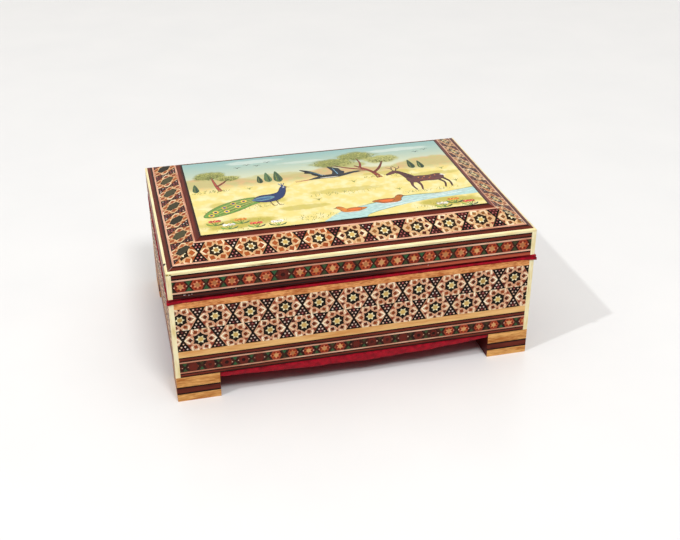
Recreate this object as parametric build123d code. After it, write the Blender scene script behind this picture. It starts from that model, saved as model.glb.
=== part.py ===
from build123d import *
import math
import os

# A hinged box covered with khatam inlay, closed. Millimetres, +Z up, origin on the table under the middle
# of the box, +X along its length, -Y towards the side that opens.

# Outside of the wood and veneers
box_length = 160.0
box_depth = 110.0
wall_thickness = 5.0
veneer_thickness = 1.2
corner_strip_width = 2.0

# Feet, laminated from three strips of wood
foot_width = 18.8
foot_lower_height = 3.5
foot_inlay_height = 3.75
foot_upper_height = 4.95
foot_inlay_depth = 1.0

# Bands up the outside of the case
case_lower_strip_height = 2.05
case_lower_line_height = 0.65
case_star_band_height = 4.4
case_upper_line_height = 0.65
case_upper_strip_height = 2.25
lower_fillet_height = 3.0
khatam_row_height = 10.4
khatam_row_count = 2
upper_fillet_height = 2.65

# Bands up the outside of the lid
lid_lower_strip_height = 2.2
lid_lower_line_height = 0.75
lid_star_band_height = 5.0
lid_upper_line_height = 0.75
lid_upper_strip_height = 2.4
edging_height = 1.05

# Slope round the top of the lid, measured level inwards from the outer face
edging_inset = 1.0
outer_frame_inset = 3.3
outer_line_inset = 4.05
lid_khatam_inset = 13.4
inner_line_inset = 14.15
slope_inset = 16.85
slope_rise = 7.0
panel_thickness = 1.2

# Inside of the case and the lid
case_board_thickness = 3.0
case_board_rebate = 2.0
corner_rabbet_cheek = 2.5
lid_board_edge_height = 1.4
lining_thickness = 1.0

# Felt on the rims and under the case
rim_gap = 2.4
rim_felt_thickness = 1.15
rim_felt_overhang = 0.5
felt_hinge_clearance = 0.4
base_felt_thickness = 0.9
base_felt_setback = 0.2
base_hem_left_drop = 1.9
base_hem_lowest_drop = 4.3
base_hem_right_drop = 1.2
base_hem_lowest_offset = 8.0

# Khatam stars
star_spacing = 14.75
star_radius = 6.87
star_heart_radius = 3.15
upper_row_offset = -2.25
lower_row_offset = 5.55
end_row_offset = 1.6
lid_star_spacing = 14.43
lid_star_radius = 6.75
lid_row_offset = -0.4
lid_end_row_offset = 0.0
star_sides = 6
least_star_share = 0.04

# Hinges
hinge_end_distance = 35.0
hinge_width = 14.0
knuckle_count = 3
knuckle_radius = 1.1
knuckle_gap = 0.15
pin_radius = 0.47
pin_clearance = 0.03
pin_head_radius = 0.75
pin_head_length = 0.4
leaf_thickness = 0.6
leaf_reach = 5.2
leaf_notch_clearance = 0.2
lid_stop_angle = 102.0
nail_width = 0.8
nail_head_radius = 0.8
nail_head_height = 0.3
nail_head_sides = 8
nail_length = 5.0
nail_spacing = 8.0
nail_from_pin = 3.2

# Levels up the case
foot_height = foot_lower_height + foot_inlay_height + foot_upper_height
case_bottom = foot_height
case_line_1 = case_bottom + case_lower_strip_height
case_star_band_bottom = case_line_1 + case_lower_line_height
case_line_2 = case_star_band_bottom + case_star_band_height
case_strip_2 = case_line_2 + case_upper_line_height
lower_fillet_bottom = case_strip_2 + case_upper_strip_height
khatam_bottom = lower_fillet_bottom + lower_fillet_height
upper_fillet_bottom = khatam_bottom + khatam_row_height * khatam_row_count
case_top = upper_fillet_bottom + upper_fillet_height

# Levels up the lid
lid_bottom = case_top + rim_gap
lid_line_1 = lid_bottom + lid_lower_strip_height
lid_star_band_bottom = lid_line_1 + lid_lower_line_height
lid_line_2 = lid_star_band_bottom + lid_star_band_height
lid_strip_2 = lid_line_2 + lid_upper_line_height
edging_bottom = lid_strip_2 + lid_upper_strip_height
slope_foot = edging_bottom + edging_height
box_top = slope_foot + slope_rise
lid_board_top = box_top - panel_thickness

# Slope and core, seen in section
slope_angle = math.atan2(slope_rise, slope_inset)
veneer_drop = veneer_thickness / math.cos(slope_angle)
core_shoulder = slope_foot + veneer_thickness * math.tan(slope_angle) - veneer_drop
lid_board_bottom = core_shoulder - lid_board_edge_height
case_board_top = case_bottom + case_board_thickness
core_half_length = box_length / 2 - veneer_thickness
core_half_depth = box_depth / 2 - veneer_thickness
inner_half_length = core_half_length - wall_thickness
inner_half_depth = core_half_depth - wall_thickness
lined_half_length = inner_half_length - lining_thickness
lined_half_depth = inner_half_depth - lining_thickness

# Hinge line: far enough in that the lid's back edge meets the case's back edge at the stop angle
pin_height = case_top + rim_gap / 2
pin_inset = rim_gap / 2 / math.tan(math.radians(lid_stop_angle / 2))
pin_y = box_depth / 2 - pin_inset
hinge_reach = box_length / 2 - hinge_end_distance
hinge_centres = {"left": -hinge_reach, "right": hinge_reach}
knuckle_width = (hinge_width - knuckle_gap * (knuckle_count - 1)) / knuckle_count
nail_y = pin_y - nail_from_pin

# The four sides: turn about Z from the front, half the run along it, distance out to it
SIDES = {
    "front": (0, box_length / 2, box_depth / 2),
    "right": (90, box_depth / 2, box_length / 2),
    "back": (180, box_length / 2, box_depth / 2),
    "left": (270, box_depth / 2, box_length / 2),
}


def block(x_span, y_span, z_span):
    """A box between two places along each axis."""
    spans = (x_span, y_span, z_span)
    middle = [(low + high) / 2 for low, high in spans]
    size = [high - low for low, high in spans]
    return Pos(*middle) * Box(*size)


def plate(half_length, half_depth, z_span):
    """A rectangular plate centred on the Z axis."""
    return block((-half_length, half_length), (-half_depth, half_depth), z_span)


def turned(shape, side):
    """A shape made for the front, turned to the side named."""
    return Rot(0, 0, SIDES[side][0]) * shape


def on_each_side(make):
    """One piece for each side; make takes half the run and the distance out."""
    return [turned(make(half_run, out), side) for side, (_, half_run, out) in SIDES.items()]


def mitre_wedge(half_run, out):
    """The quarter of the plan, cut at 45 degrees at both corners, that a front strip keeps to."""
    depth = slope_inset + veneer_thickness
    corners = [
        (-half_run, -out),
        (half_run, -out),
        (half_run - depth, -out + depth),
        (-half_run + depth, -out + depth),
    ]
    outline = make_face(Polyline(*corners, close=True))
    return extrude(outline, box_top)


def mitred_strip(section, half_run, out):
    """A strip with the section given as inset and height, mitred to its neighbours."""
    outline = make_face(Polyline(*section, close=True))
    across = Plane(origin=(-half_run, -out, 0), x_dir=(0, 1, 0), z_dir=(1, 0, 0))
    return extrude(across * outline, half_run * 2) & mitre_wedge(half_run, out)


def face_band(bottom, height):
    """Four flat strips between the corner strips, one on each side."""

    def make(half_run, out):
        reach = half_run - corner_strip_width
        return block((-reach, reach), (-out, -out + veneer_thickness), (bottom, bottom + height))

    return on_each_side(make)


def slope_height(inset):
    """Height of the lid's finished slope at an inset."""
    return slope_foot + inset * math.tan(slope_angle)


def under_slope(inset):
    """The point on the core that lies square under the finished slope at an inset."""
    drop = veneer_thickness * math.cos(slope_angle)
    return inset + veneer_thickness * math.sin(slope_angle), slope_height(inset) - drop


def slope_band(low_inset, high_inset):
    """Four mitred strips on the slope of the lid."""
    section = [
        (low_inset, slope_height(low_inset)),
        (high_inset, slope_height(high_inset)),
        under_slope(high_inset),
        under_slope(low_inset),
    ]
    return on_each_side(lambda half_run, out: mitred_strip(section, half_run, out))


# Khatam inlay

def hexagon(radius, turn):
    """A regular hexagon, with a corner to the right where turn is 0."""
    corners = [
        (
            radius * math.cos(math.radians(turn + 360 / star_sides * corner)),
            radius * math.sin(math.radians(turn + 360 / star_sides * corner)),
        )
        for corner in range(star_sides)
    ]
    return make_face(Polyline(*corners, close=True))


def row_centres(reach, spacing, offset):
    """Places of the stars along a row, also of those that the ends cut."""
    first = math.ceil((-reach - spacing / 2 - offset) / spacing)
    last = math.floor((reach + spacing / 2 - offset) / spacing)
    return [offset + spacing * place for place in range(first, last + 1)]


def inlay_row(strip, centres, height, radius):
    """Cuts a strip into star blocks, their hearts and the dark blocks that fill the gaps."""
    stars = []
    hearts = []
    field = strip
    for centre in centres:
        place = Pos(centre, height)
        whole = place * hexagon(radius, 0)
        cut = whole & strip
        if sum(face.area for face in cut.faces()) < whole.area * least_star_share:
            continue
        field -= whole
        heart = (place * hexagon(star_heart_radius, 360 / star_sides / 2) & strip).faces()
        stars += (cut - heart).faces() if heart else cut.faces()
        hearts += heart
    return stars, hearts, field.faces()


def seat_inlay(rows, plane):
    """Gives the flat shapes of several rows the thickness of the veneer."""
    kinds = []
    for kind in zip(*rows):
        faces = [face for row in kind for face in row]
        kinds.append([extrude(plane * face, -veneer_thickness) for face in faces])
    return kinds


def case_inlay(side):
    """Two rows of stars, the upper one about half a star along from the lower."""
    _, half_run, out = SIDES[side]
    reach = half_run - corner_strip_width
    offsets = (lower_row_offset, upper_row_offset)
    if side in ("left", "right"):
        offsets = (end_row_offset, end_row_offset - star_spacing / 2)
    rows = []
    for row, offset in enumerate(offsets):
        middle = khatam_bottom + khatam_row_height * (row + 0.5)
        strip = Pos(0, middle) * Rectangle(reach * 2, khatam_row_height)
        rows.append(inlay_row(strip, row_centres(reach, star_spacing, offset), middle, star_radius))
    plane = Plane(origin=(0, -out, 0), x_dir=(1, 0, 0), z_dir=(0, -1, 0))
    return [[turned(piece, side) for piece in kind] for kind in seat_inlay(rows, plane)]


def lid_inlay(side):
    """One row of stars on the slope, mitred at the corners."""
    _, half_run, out = SIDES[side]
    stretch = 1 / math.cos(slope_angle)
    low = outer_line_inset
    high = lid_khatam_inset
    corners = [
        (-half_run + low, low * stretch),
        (half_run - low, low * stretch),
        (half_run - high, high * stretch),
        (-half_run + high, high * stretch),
    ]
    strip = make_face(Polyline(*corners, close=True))
    offset = lid_row_offset if side in ("front", "back") else lid_end_row_offset
    middle = (low + high) / 2 * stretch
    centres = row_centres(half_run - low, lid_star_spacing, offset)
    row = inlay_row(strip, centres, middle, lid_star_radius)
    tilt = (0, -math.sin(slope_angle), math.cos(slope_angle))
    plane = Plane(origin=(0, -out, slope_foot), x_dir=(1, 0, 0), z_dir=tilt)
    wedge = mitre_wedge(half_run, out)
    return [[turned(piece & wedge, side) for piece in kind] for kind in seat_inlay([row], plane)]


# Case

def nail_holes(head_side):
    """Shanks of the hinge nails in the back walls, above or below the hinges."""
    down = head_side == "case"
    base = case_top - nail_length if down else lid_bottom
    holes = []
    for centre in hinge_centres.values():
        for step in (-1, 1):
            spot = Pos(centre + step * nail_spacing / 2, nail_y, base + nail_length / 2)
            holes.append(spot * Box(nail_width, nail_width, nail_length))
    return holes


def corner_strips(bottom, top):
    """Four square strips of bone that close the corners of the veneers."""
    strips = []
    for x_sign in (-1, 1):
        for y_sign in (-1, 1):
            x_span = sorted((x_sign * box_length / 2, x_sign * (box_length / 2 - corner_strip_width)))
            y_span = sorted((y_sign * box_depth / 2, y_sign * (box_depth / 2 - corner_strip_width)))
            strips.append(block(x_span, y_span, (bottom, top)))
    return strips


def walls(bottom, top, cuts):
    """Front, back, left and right walls; the long ones are rabbeted to take the short ones."""
    end_reach = core_half_depth - corner_rabbet_cheek
    z_span = (bottom, top)
    ends = {
        "left": block((-core_half_length, -inner_half_length), (-end_reach, end_reach), z_span),
        "right": block((inner_half_length, core_half_length), (-end_reach, end_reach), z_span),
    }
    long_reach = (-core_half_length, core_half_length)
    boards = {
        "front": block(long_reach, (-core_half_depth, -inner_half_depth), z_span),
        "back": block(long_reach, (inner_half_depth, core_half_depth), z_span),
    }
    for name in boards:
        boards[name] = boards[name] - list(ends.values())
    boards.update(ends)
    return {name: board - cuts for name, board in boards.items()}


def case_bottom_board():
    """The floor of the case, let into a rebate round the foot of the walls."""
    return plate(
        inner_half_length + case_board_rebate,
        inner_half_depth + case_board_rebate,
        (case_bottom, case_board_top),
    )


def foot_corners():
    """Signs of X and Y at each foot, by name."""
    return {
        "front_left": (-1, -1),
        "front_right": (1, -1),
        "back_left": (-1, 1),
        "back_right": (1, 1),
    }


def foot_span(sign, half, inset_out, inset_in):
    """The stretch that a foot takes up along one axis, less an inset at its outer and inner end."""
    return sorted((sign * (half - inset_out), sign * (half - foot_width + inset_in)))


def foot_block(signs):
    """A foot of light wood with a groove round its two outer faces."""
    x_sign, y_sign = signs
    whole = block(
        foot_span(x_sign, box_length / 2, 0, 0),
        foot_span(y_sign, box_depth / 2, 0, 0),
        (0, foot_height),
    )
    return whole - foot_inlay(signs)


def foot_inlay(signs):
    """The dark strip let into the outer faces of a foot."""
    x_sign, y_sign = signs
    z_span = (foot_lower_height, foot_lower_height + foot_inlay_height)
    whole = block(
        foot_span(x_sign, box_length / 2, 0, 0),
        foot_span(y_sign, box_depth / 2, 0, 0),
        z_span,
    )
    kept = block(
        foot_span(x_sign, box_length / 2, foot_inlay_depth, 0),
        foot_span(y_sign, box_depth / 2, foot_inlay_depth, 0),
        z_span,
    )
    return whole - kept


def base_felt():
    """Felt glued under the case round the feet; along the front its edge sags, most near the middle."""
    top = case_bottom
    felt = plate(
        box_length / 2 - base_felt_setback,
        box_depth / 2 - base_felt_setback,
        (top - base_felt_thickness, top),
    )
    for x_sign, y_sign in foot_corners().values():
        felt -= block(
            foot_span(x_sign, box_length / 2, 0, 0),
            foot_span(y_sign, box_depth / 2, 0, 0),
            (0, foot_height),
        )
    reach = box_length / 2 - foot_width
    left = (-reach, top - base_hem_left_drop)
    lowest = (base_hem_lowest_offset, top - base_hem_lowest_drop)
    right = (reach, top - base_hem_right_drop)
    sag = Spline(left, lowest, right)
    sides = Polyline(right, (reach, top), (-reach, top), left)
    front = Plane(origin=(0, -box_depth / 2 + base_felt_setback, 0), x_dir=(1, 0, 0), z_dir=(0, -1, 0))
    hem = extrude(front * make_face([sag, sides]), -base_felt_thickness)
    return felt + hem


def rim_felt(bottom):
    """Felt along a rim: it stands out a little at three sides and stops short of the hinge line."""
    top = bottom + rim_felt_thickness
    back_edge = pin_y - felt_hinge_clearance
    side_reach = box_length / 2 + rim_felt_overhang
    felt = block((-side_reach, side_reach), (-box_depth / 2 - rim_felt_overhang, back_edge), (bottom, top))
    felt -= plate(lined_half_length, lined_half_depth, (bottom, top))
    leaf_reach_out = hinge_width / 2 + felt_hinge_clearance
    for centre in hinge_centres.values():
        felt -= block(
            (centre - leaf_reach_out, centre + leaf_reach_out),
            (pin_y - leaf_reach - felt_hinge_clearance, box_depth / 2),
            (bottom, top),
        )
    return felt


def wall_linings(bottom, top):
    """Four velvet cards against the insides of the walls."""
    cards = []
    for sign in (-1, 1):
        y_span = sorted((sign * inner_half_depth, sign * lined_half_depth))
        cards.append(block((-inner_half_length, inner_half_length), y_span, (bottom, top)))
    for sign in (-1, 1):
        x_span = sorted((sign * inner_half_length, sign * lined_half_length))
        cards.append(block(x_span, (-lined_half_depth, lined_half_depth), (bottom, top)))
    return cards


# Lid

def lid_top_board():
    """The raised board: flat below, bevelled on all four sides up to the seat of the painted panel."""
    shoulder = veneer_thickness
    seat_inset = shoulder + (lid_board_top - core_shoulder) / math.tan(slope_angle)

    def bevelled(half, far_half, x_dir, z_dir):
        section = [
            (-half + shoulder, lid_board_bottom),
            (half - shoulder, lid_board_bottom),
            (half - shoulder, core_shoulder),
            (half - seat_inset, lid_board_top),
            (-half + seat_inset, lid_board_top),
            (-half + shoulder, core_shoulder),
        ]
        plane = Plane(origin=(0, 0, 0), x_dir=x_dir, z_dir=z_dir)
        outline = plane * make_face(Polyline(*section, close=True))
        return extrude(outline, far_half - shoulder, both=True)

    along_depth = bevelled(box_length / 2, box_depth / 2, (1, 0, 0), (0, -1, 0))
    along_length = bevelled(box_depth / 2, box_length / 2, (0, 1, 0), (1, 0, 0))
    return (along_depth & along_length) - corner_strips(lid_bottom, edging_bottom)


def lid_edging():
    """Bone along the upper arris of the lid, mitred at the corners."""
    seat = under_slope(edging_inset)
    section = [
        (0, edging_bottom),
        (0, slope_foot),
        (edging_inset, slope_height(edging_inset)),
        seat,
        (veneer_thickness, core_shoulder),
        (veneer_thickness, edging_bottom),
    ]
    return on_each_side(lambda half_run, out: mitred_strip(section, half_run, out))


def inner_frame():
    """The inmost strips of the slope, cut upright where they meet the painted panel."""
    section = [
        (inner_line_inset, slope_height(inner_line_inset)),
        (slope_inset, box_top),
        (slope_inset, box_top - veneer_drop),
        under_slope(inner_line_inset),
    ]
    return on_each_side(lambda half_run, out: mitred_strip(section, half_run, out))


def painted_panel():
    """The flat panel in the middle of the lid."""
    return plate(box_length / 2 - slope_inset, box_depth / 2 - slope_inset, (lid_board_top, box_top))


# Hinges

def along_x(radius, start, end):
    """A round bar on the hinge line."""
    bar = Rot(0, 90, 0) * Cylinder(radius, end - start)
    return Pos((start + end) / 2, pin_y, pin_height) * bar


def knuckle_spans(centre):
    """The stretch of the hinge line that each knuckle takes, from left to right."""
    start = centre - hinge_width / 2
    step = knuckle_width + knuckle_gap
    return [(start + step * place, start + step * place + knuckle_width) for place in range(knuckle_count)]


def hinge_leaf(centre, body):
    """A brass leaf with its knuckles; the case has the outer ones and the lid the inner."""
    on_case = body == "case"
    spans = knuckle_spans(centre)
    own = spans[::2] if on_case else spans[1::2]
    other = spans[1::2] if on_case else spans[::2]
    z_span = (case_top, case_top + leaf_thickness) if on_case else (lid_bottom - leaf_thickness, lid_bottom)
    leaf = block((centre - hinge_width / 2, centre + hinge_width / 2), (pin_y - leaf_reach, pin_y), z_span)
    for start, end in own:
        leaf += along_x(knuckle_radius, start, end)
    notch = knuckle_radius + leaf_notch_clearance
    for start, end in other:
        x_span = (start - knuckle_gap, end + knuckle_gap)
        leaf -= block(x_span, (pin_y - notch, pin_y + notch), (case_top, lid_bottom))
    bore = pin_radius if on_case else pin_radius + pin_clearance
    leaf -= along_x(bore, centre - hinge_width / 2, centre + hinge_width / 2)
    for step in (-1, 1):
        leaf -= Pos(centre + step * nail_spacing / 2, nail_y, pin_height) * Box(nail_width, nail_width, rim_gap)
    return leaf


def hinge_pin(centre):
    """The pin, riveted over outside the end knuckles."""
    end = hinge_width / 2
    pin = along_x(pin_radius, centre - end, centre + end)
    pin += along_x(pin_head_radius, centre - end - pin_head_length, centre - end)
    pin += along_x(pin_head_radius, centre + end, centre + end + pin_head_length)
    return pin


def hinge_nails(body):
    """Forged nails with square shanks and eight-sided heads, through the leaves into the rims."""
    shank_length = nail_length + leaf_thickness
    if body == "case":
        shank_middle = case_top + leaf_thickness - shank_length / 2
        head_middle = case_top + leaf_thickness + nail_head_height / 2
    else:
        shank_middle = lid_bottom - leaf_thickness + shank_length / 2
        head_middle = lid_bottom - leaf_thickness - nail_head_height / 2
    nails = []
    for centre in hinge_centres.values():
        for step in (-1, 1):
            x = centre + step * nail_spacing / 2
            shank = Pos(x, nail_y, shank_middle) * Box(nail_width, nail_width, shank_length)
            head_face = RegularPolygon(nail_head_radius, nail_head_sides)
            head_bottom = Pos(x, nail_y, head_middle - nail_head_height / 2)
            head = extrude(head_bottom * head_face, nail_head_height)
            nails.append(shank + head)
    return nails


def case_nodes():
    """Every piece that stays with the case, by name."""
    board = case_bottom_board()
    posts = corner_strips(case_bottom, case_top)
    lining_top = case_board_top + lining_thickness
    nodes = {
        "case_bottom_board": board,
        "case_corner_strips": posts,
        "case_lower_dark_strips": face_band(case_bottom, case_lower_strip_height),
        "case_lower_bone_lines": face_band(case_line_1, case_lower_line_height),
        "case_star_bands": face_band(case_star_band_bottom, case_star_band_height),
        "case_upper_bone_lines": face_band(case_line_2, case_upper_line_height),
        "case_upper_dark_strips": face_band(case_strip_2, case_upper_strip_height),
        "case_lower_fillets": face_band(lower_fillet_bottom, lower_fillet_height),
        "case_upper_fillets": face_band(upper_fillet_bottom, upper_fillet_height),
        "base_felt": base_felt(),
        "case_rim_felt": rim_felt(case_top),
        "case_floor_lining": plate(inner_half_length, inner_half_depth, (case_board_top, lining_top)),
        "case_wall_linings": wall_linings(lining_top, case_top),
        "case_hinge_nails": hinge_nails("case"),
    }
    for name, wall in walls(case_bottom, case_top, [board] + posts + nail_holes("case")).items():
        nodes["case_" + name + "_wall"] = wall
    for name, signs in foot_corners().items():
        nodes[name + "_foot"] = foot_block(signs)
    nodes["foot_dark_inlays"] = [foot_inlay(signs) for signs in foot_corners().values()]
    for name, centre in hinge_centres.items():
        nodes[name + "_hinge_case_leaf"] = hinge_leaf(centre, "case")
        nodes[name + "_hinge_pin"] = hinge_pin(centre)
    inlays = [case_inlay(side) for side in SIDES]
    for kind, pieces in zip(("stars", "star_hearts", "fillers"), zip(*inlays)):
        nodes["case_khatam_" + kind] = [piece for side_pieces in pieces for piece in side_pieces]
    return nodes


def lid_nodes():
    """Every piece that moves with the lid, by name."""
    posts = corner_strips(lid_bottom, edging_bottom)
    lining_bottom = lid_board_bottom - lining_thickness
    nodes = {
        "lid_top_board": lid_top_board(),
        "lid_corner_strips": posts,
        "lid_lower_dark_strips": face_band(lid_bottom, lid_lower_strip_height),
        "lid_lower_bone_lines": face_band(lid_line_1, lid_lower_line_height),
        "lid_star_bands": face_band(lid_star_band_bottom, lid_star_band_height),
        "lid_upper_bone_lines": face_band(lid_line_2, lid_upper_line_height),
        "lid_upper_dark_strips": face_band(lid_strip_2, lid_upper_strip_height),
        "lid_edging": lid_edging(),
        "lid_outer_frame": slope_band(edging_inset, outer_frame_inset),
        "lid_outer_lines": slope_band(outer_frame_inset, outer_line_inset),
        "lid_inner_lines": slope_band(lid_khatam_inset, inner_line_inset),
        "lid_inner_frame": inner_frame(),
        "painted_panel": painted_panel(),
        "lid_rim_felt": rim_felt(lid_bottom - rim_felt_thickness),
        "lid_top_lining": plate(inner_half_length, inner_half_depth, (lining_bottom, lid_board_bottom)),
        "lid_wall_linings": wall_linings(lid_bottom, lining_bottom),
        "lid_hinge_nails": hinge_nails("lid"),
    }
    for name, rail in walls(lid_bottom, lid_board_bottom, posts + nail_holes("lid")).items():
        nodes["lid_" + name + "_rail"] = rail
    for name, centre in hinge_centres.items():
        nodes[name + "_hinge_lid_leaf"] = hinge_leaf(centre, "lid")
    inlays = [lid_inlay(side) for side in SIDES]
    for kind, pieces in zip(("stars", "star_hearts", "fillers"), zip(*inlays)):
        nodes["lid_khatam_" + kind] = [piece for side_pieces in pieces for piece in side_pieces]
    return nodes


os.makedirs("parts", exist_ok=True)
for node, shape in {**case_nodes(), **lid_nodes()}.items():
    pieces = shape if isinstance(shape, list) else [shape]
    solids = [solid for piece in pieces for solid in piece.solids()]
    export_step(Compound(label=node, children=solids), "parts/" + node + ".step")
print("lid hinge line at y", round(pin_y, 3), "z", round(pin_height, 3))
print("inside of the lined case", [round(2 * half, 2) for half in (lined_half_length, lined_half_depth)])
print("floor lining top", round(case_board_top + lining_thickness, 3), "case top", round(case_top, 3))
print("lid hollow from", round(lid_bottom, 3), "to", round(lid_board_bottom - lining_thickness, 3))
print("overall height", round(box_top, 3))
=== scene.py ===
import math
import random

import bpy
from mathutils import Matrix, Vector, noise


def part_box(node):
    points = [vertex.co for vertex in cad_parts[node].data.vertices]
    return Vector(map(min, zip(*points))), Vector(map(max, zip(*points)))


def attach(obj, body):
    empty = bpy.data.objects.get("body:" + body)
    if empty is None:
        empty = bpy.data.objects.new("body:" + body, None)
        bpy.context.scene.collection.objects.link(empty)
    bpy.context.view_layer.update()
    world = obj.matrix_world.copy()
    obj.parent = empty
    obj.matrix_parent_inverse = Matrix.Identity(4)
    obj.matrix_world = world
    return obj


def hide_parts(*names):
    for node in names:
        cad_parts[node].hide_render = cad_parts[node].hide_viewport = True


# A hinged box covered with khatam inlay, with a painted lid and red felt. Sizes are millimetres in the
# shared frame, and turn into metres where a mesh is made.

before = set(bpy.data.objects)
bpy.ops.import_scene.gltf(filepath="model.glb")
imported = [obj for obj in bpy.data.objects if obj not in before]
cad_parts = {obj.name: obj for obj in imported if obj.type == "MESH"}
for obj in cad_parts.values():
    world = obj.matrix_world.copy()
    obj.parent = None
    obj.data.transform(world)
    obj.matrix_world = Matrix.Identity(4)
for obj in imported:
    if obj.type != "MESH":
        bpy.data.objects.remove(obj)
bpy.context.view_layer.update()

MM = 0.001
PER_METRE = 1000.0
SEED = 11
rng = random.Random(SEED)


def extent(node):
    """Lowest and highest corner of a CAD node in millimetres."""
    low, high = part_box(node)
    return low * PER_METRE, high * PER_METRE


# Sizes read from the frame
HALF_LENGTH = extent("case_corner_strips")[1].x
HALF_DEPTH = extent("case_corner_strips")[1].y
CASE_TOP = extent("case_corner_strips")[1].z
LID_BOTTOM = extent("lid_corner_strips")[0].z
BOX_TOP = extent("painted_panel")[1].z
PANEL_HALF_LENGTH = extent("painted_panel")[1].x
PANEL_HALF_DEPTH = extent("painted_panel")[1].y
SLOPE_INSET = HALF_LENGTH - PANEL_HALF_LENGTH
KHATAM_BOTTOM = extent("case_khatam_stars")[0].z
KHATAM_TOP = extent("case_khatam_stars")[1].z
LINING_TOP = extent("case_wall_linings")[0].z
LID_LINING_TOP = extent("lid_wall_linings")[1].z
INNER_HALF_LENGTH = extent("case_wall_linings")[1].x
RIM_FELT_THICKNESS = extent("case_rim_felt")[1].z - CASE_TOP
RIM_FELT_BACK = extent("case_rim_felt")[1].y
FOOT_WIDTH = extent("front_left_foot")[1].x + HALF_LENGTH
LEAF_FRONT = extent("left_hinge_case_leaf")[0].y
LEAF_LEFT = extent("left_hinge_case_leaf")[0].x
LEAF_RIGHT = extent("left_hinge_case_leaf")[1].x
HINGE_SPACING = extent("right_hinge_case_leaf")[0].x - LEAF_LEFT

# Sizes of the inlay
POST_WIDTH = 2.0
SLOPE_RISE = 7.0
SLOPE_ANGLE = math.atan2(SLOPE_RISE, SLOPE_INSET)
SLOPE_FOOT = BOX_TOP - SLOPE_RISE
LID_KHATAM_INSETS = (4.05, 13.4)
STAR_PITCH = 14.75
STAR_RADIUS = 6.87
LOWER_ROW_PHASE = 5.55
UPPER_ROW_PHASE = -2.25
END_ROW_PHASE = 1.6
LID_STAR_PITCH = 14.43
LID_STAR_RADIUS = 6.75
LID_ROW_PHASE = -0.4
CASE_BAND_PITCH = 7.14
CASE_BAND_PHASE = -36.45
LID_BAND_PITCH = 7.08
LID_BAND_PHASE = -74.7

# Heights of the thin inlaid pieces above the blocks that carry them
SUNK = -0.03
PROUD = 0.012
PROUDER = 0.02
PROUDEST = 0.028

SIXTH = 60.0
HALF_SIXTH = 30.0
SIDES = {"front": 0, "right": 90, "back": 180, "left": 270}


def srgb(red, green, blue):
    """A colour given as 0 to 255 for the screen, as the linear colour that shaders take."""
    knee, divisor, offset, power = 0.04045, 12.92, 0.055, 2.4
    linear = []
    for channel in (red / 255, green / 255, blue / 255):
        bright = ((channel + offset) / (1 + offset)) ** power
        linear.append(bright if channel > knee else channel / divisor)
    return (*linear, 1.0)


BONE = srgb(251, 240, 198)
BONE_DEEP = srgb(232, 210, 148)
STAR_BONE = srgb(228, 178, 142)
STAR_BLUSH = srgb(196, 132, 96)
LID_STAR_BONE = srgb(226, 186, 138)
LID_STAR_BLUSH = srgb(192, 138, 92)
PETAL = srgb(252, 240, 212)
PETAL_DEEP = srgb(236, 208, 170)
LID_PETAL = srgb(246, 226, 188)
LID_PETAL_DEEP = srgb(208, 168, 122)
LINE_PINK = srgb(236, 190, 160)
LINE_PINK_DEEP = srgb(190, 120, 92)
NEAR_BLACK = srgb(14, 7, 5)
BLACK_WARM = srgb(34, 24, 13)
HEART_BROWN = srgb(62, 44, 24)
DARK_BROWN = srgb(62, 20, 14)
STRIP_BROWN = srgb(124, 48, 32)
DARK_RED_BROWN = srgb(84, 32, 18)
RED_BROWN = srgb(146, 68, 34)
OCHRE_BROWN = srgb(158, 106, 58)
ORANGE_BROWN = srgb(192, 100, 46)
RICH_BROWN = srgb(172, 92, 44)
RED_BIT = srgb(150, 66, 46)
RED_BIT_DEEP = srgb(84, 26, 22)
FRAME_BROWN = srgb(114, 44, 30)
GOLD = srgb(212, 178, 102)
GOLD_DEEP = srgb(160, 122, 62)
PALE_GOLD = srgb(218, 206, 164)
TIP_GREY = srgb(192, 178, 136)
TIP_BROWN = srgb(110, 80, 48)
OLIVE_GREY = srgb(82, 76, 48)
OLIVE_BLACK = srgb(38, 34, 22)
DOT_WHITE = srgb(232, 212, 200)
DOT_PINK = srgb(192, 108, 104)
DOT_RED = srgb(128, 50, 48)
FILLER_RED = srgb(78, 32, 28)
BAND_GROUND = srgb(66, 32, 22)
BAND_GROUND_DEEP = srgb(30, 20, 14)
GREEN = srgb(48, 92, 56)
GREEN_DEEP = srgb(62, 50, 28)
DULL_RED = srgb(100, 38, 28)
BAND_GOLD = srgb(212, 164, 106)
BAND_GOLD_DEEP = srgb(150, 76, 44)
RING_ORANGE = srgb(170, 66, 38)
RING_RED = srgb(116, 32, 20)
TIP_ORANGE = srgb(222, 148, 106)
FILLET = srgb(240, 172, 106)
FILLET_DEEP = srgb(182, 100, 50)
LOWER_FILLET = srgb(240, 194, 128)
LOWER_FILLET_DEEP = srgb(214, 150, 86)
FOOT_LIGHT = srgb(238, 182, 108)
FOOT_DEEP = srgb(176, 104, 46)
# Painted dark red shade for the inner sides of the feet
FOOT_PAINTED_SHADE = srgb(84, 26, 24)
FELT_RED = srgb(186, 12, 38)
FELT_DARK = srgb(112, 2, 20)
VELVET_RED = srgb(150, 12, 30)
VELVET_DARK = srgb(84, 4, 16)
BRASS = srgb(206, 168, 92)
BRASS_DARK = srgb(124, 88, 40)
CORE = srgb(206, 170, 122)
CORE_DEEP = srgb(168, 126, 82)
CHIP_DARK = srgb(40, 34, 20)
CHIP_GOLD = srgb(170, 154, 78)
# Colour of the painted glints on the lid's front
GLINT_PALE = srgb(236, 226, 220)
MITRE_GREY = srgb(150, 128, 120)


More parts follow.
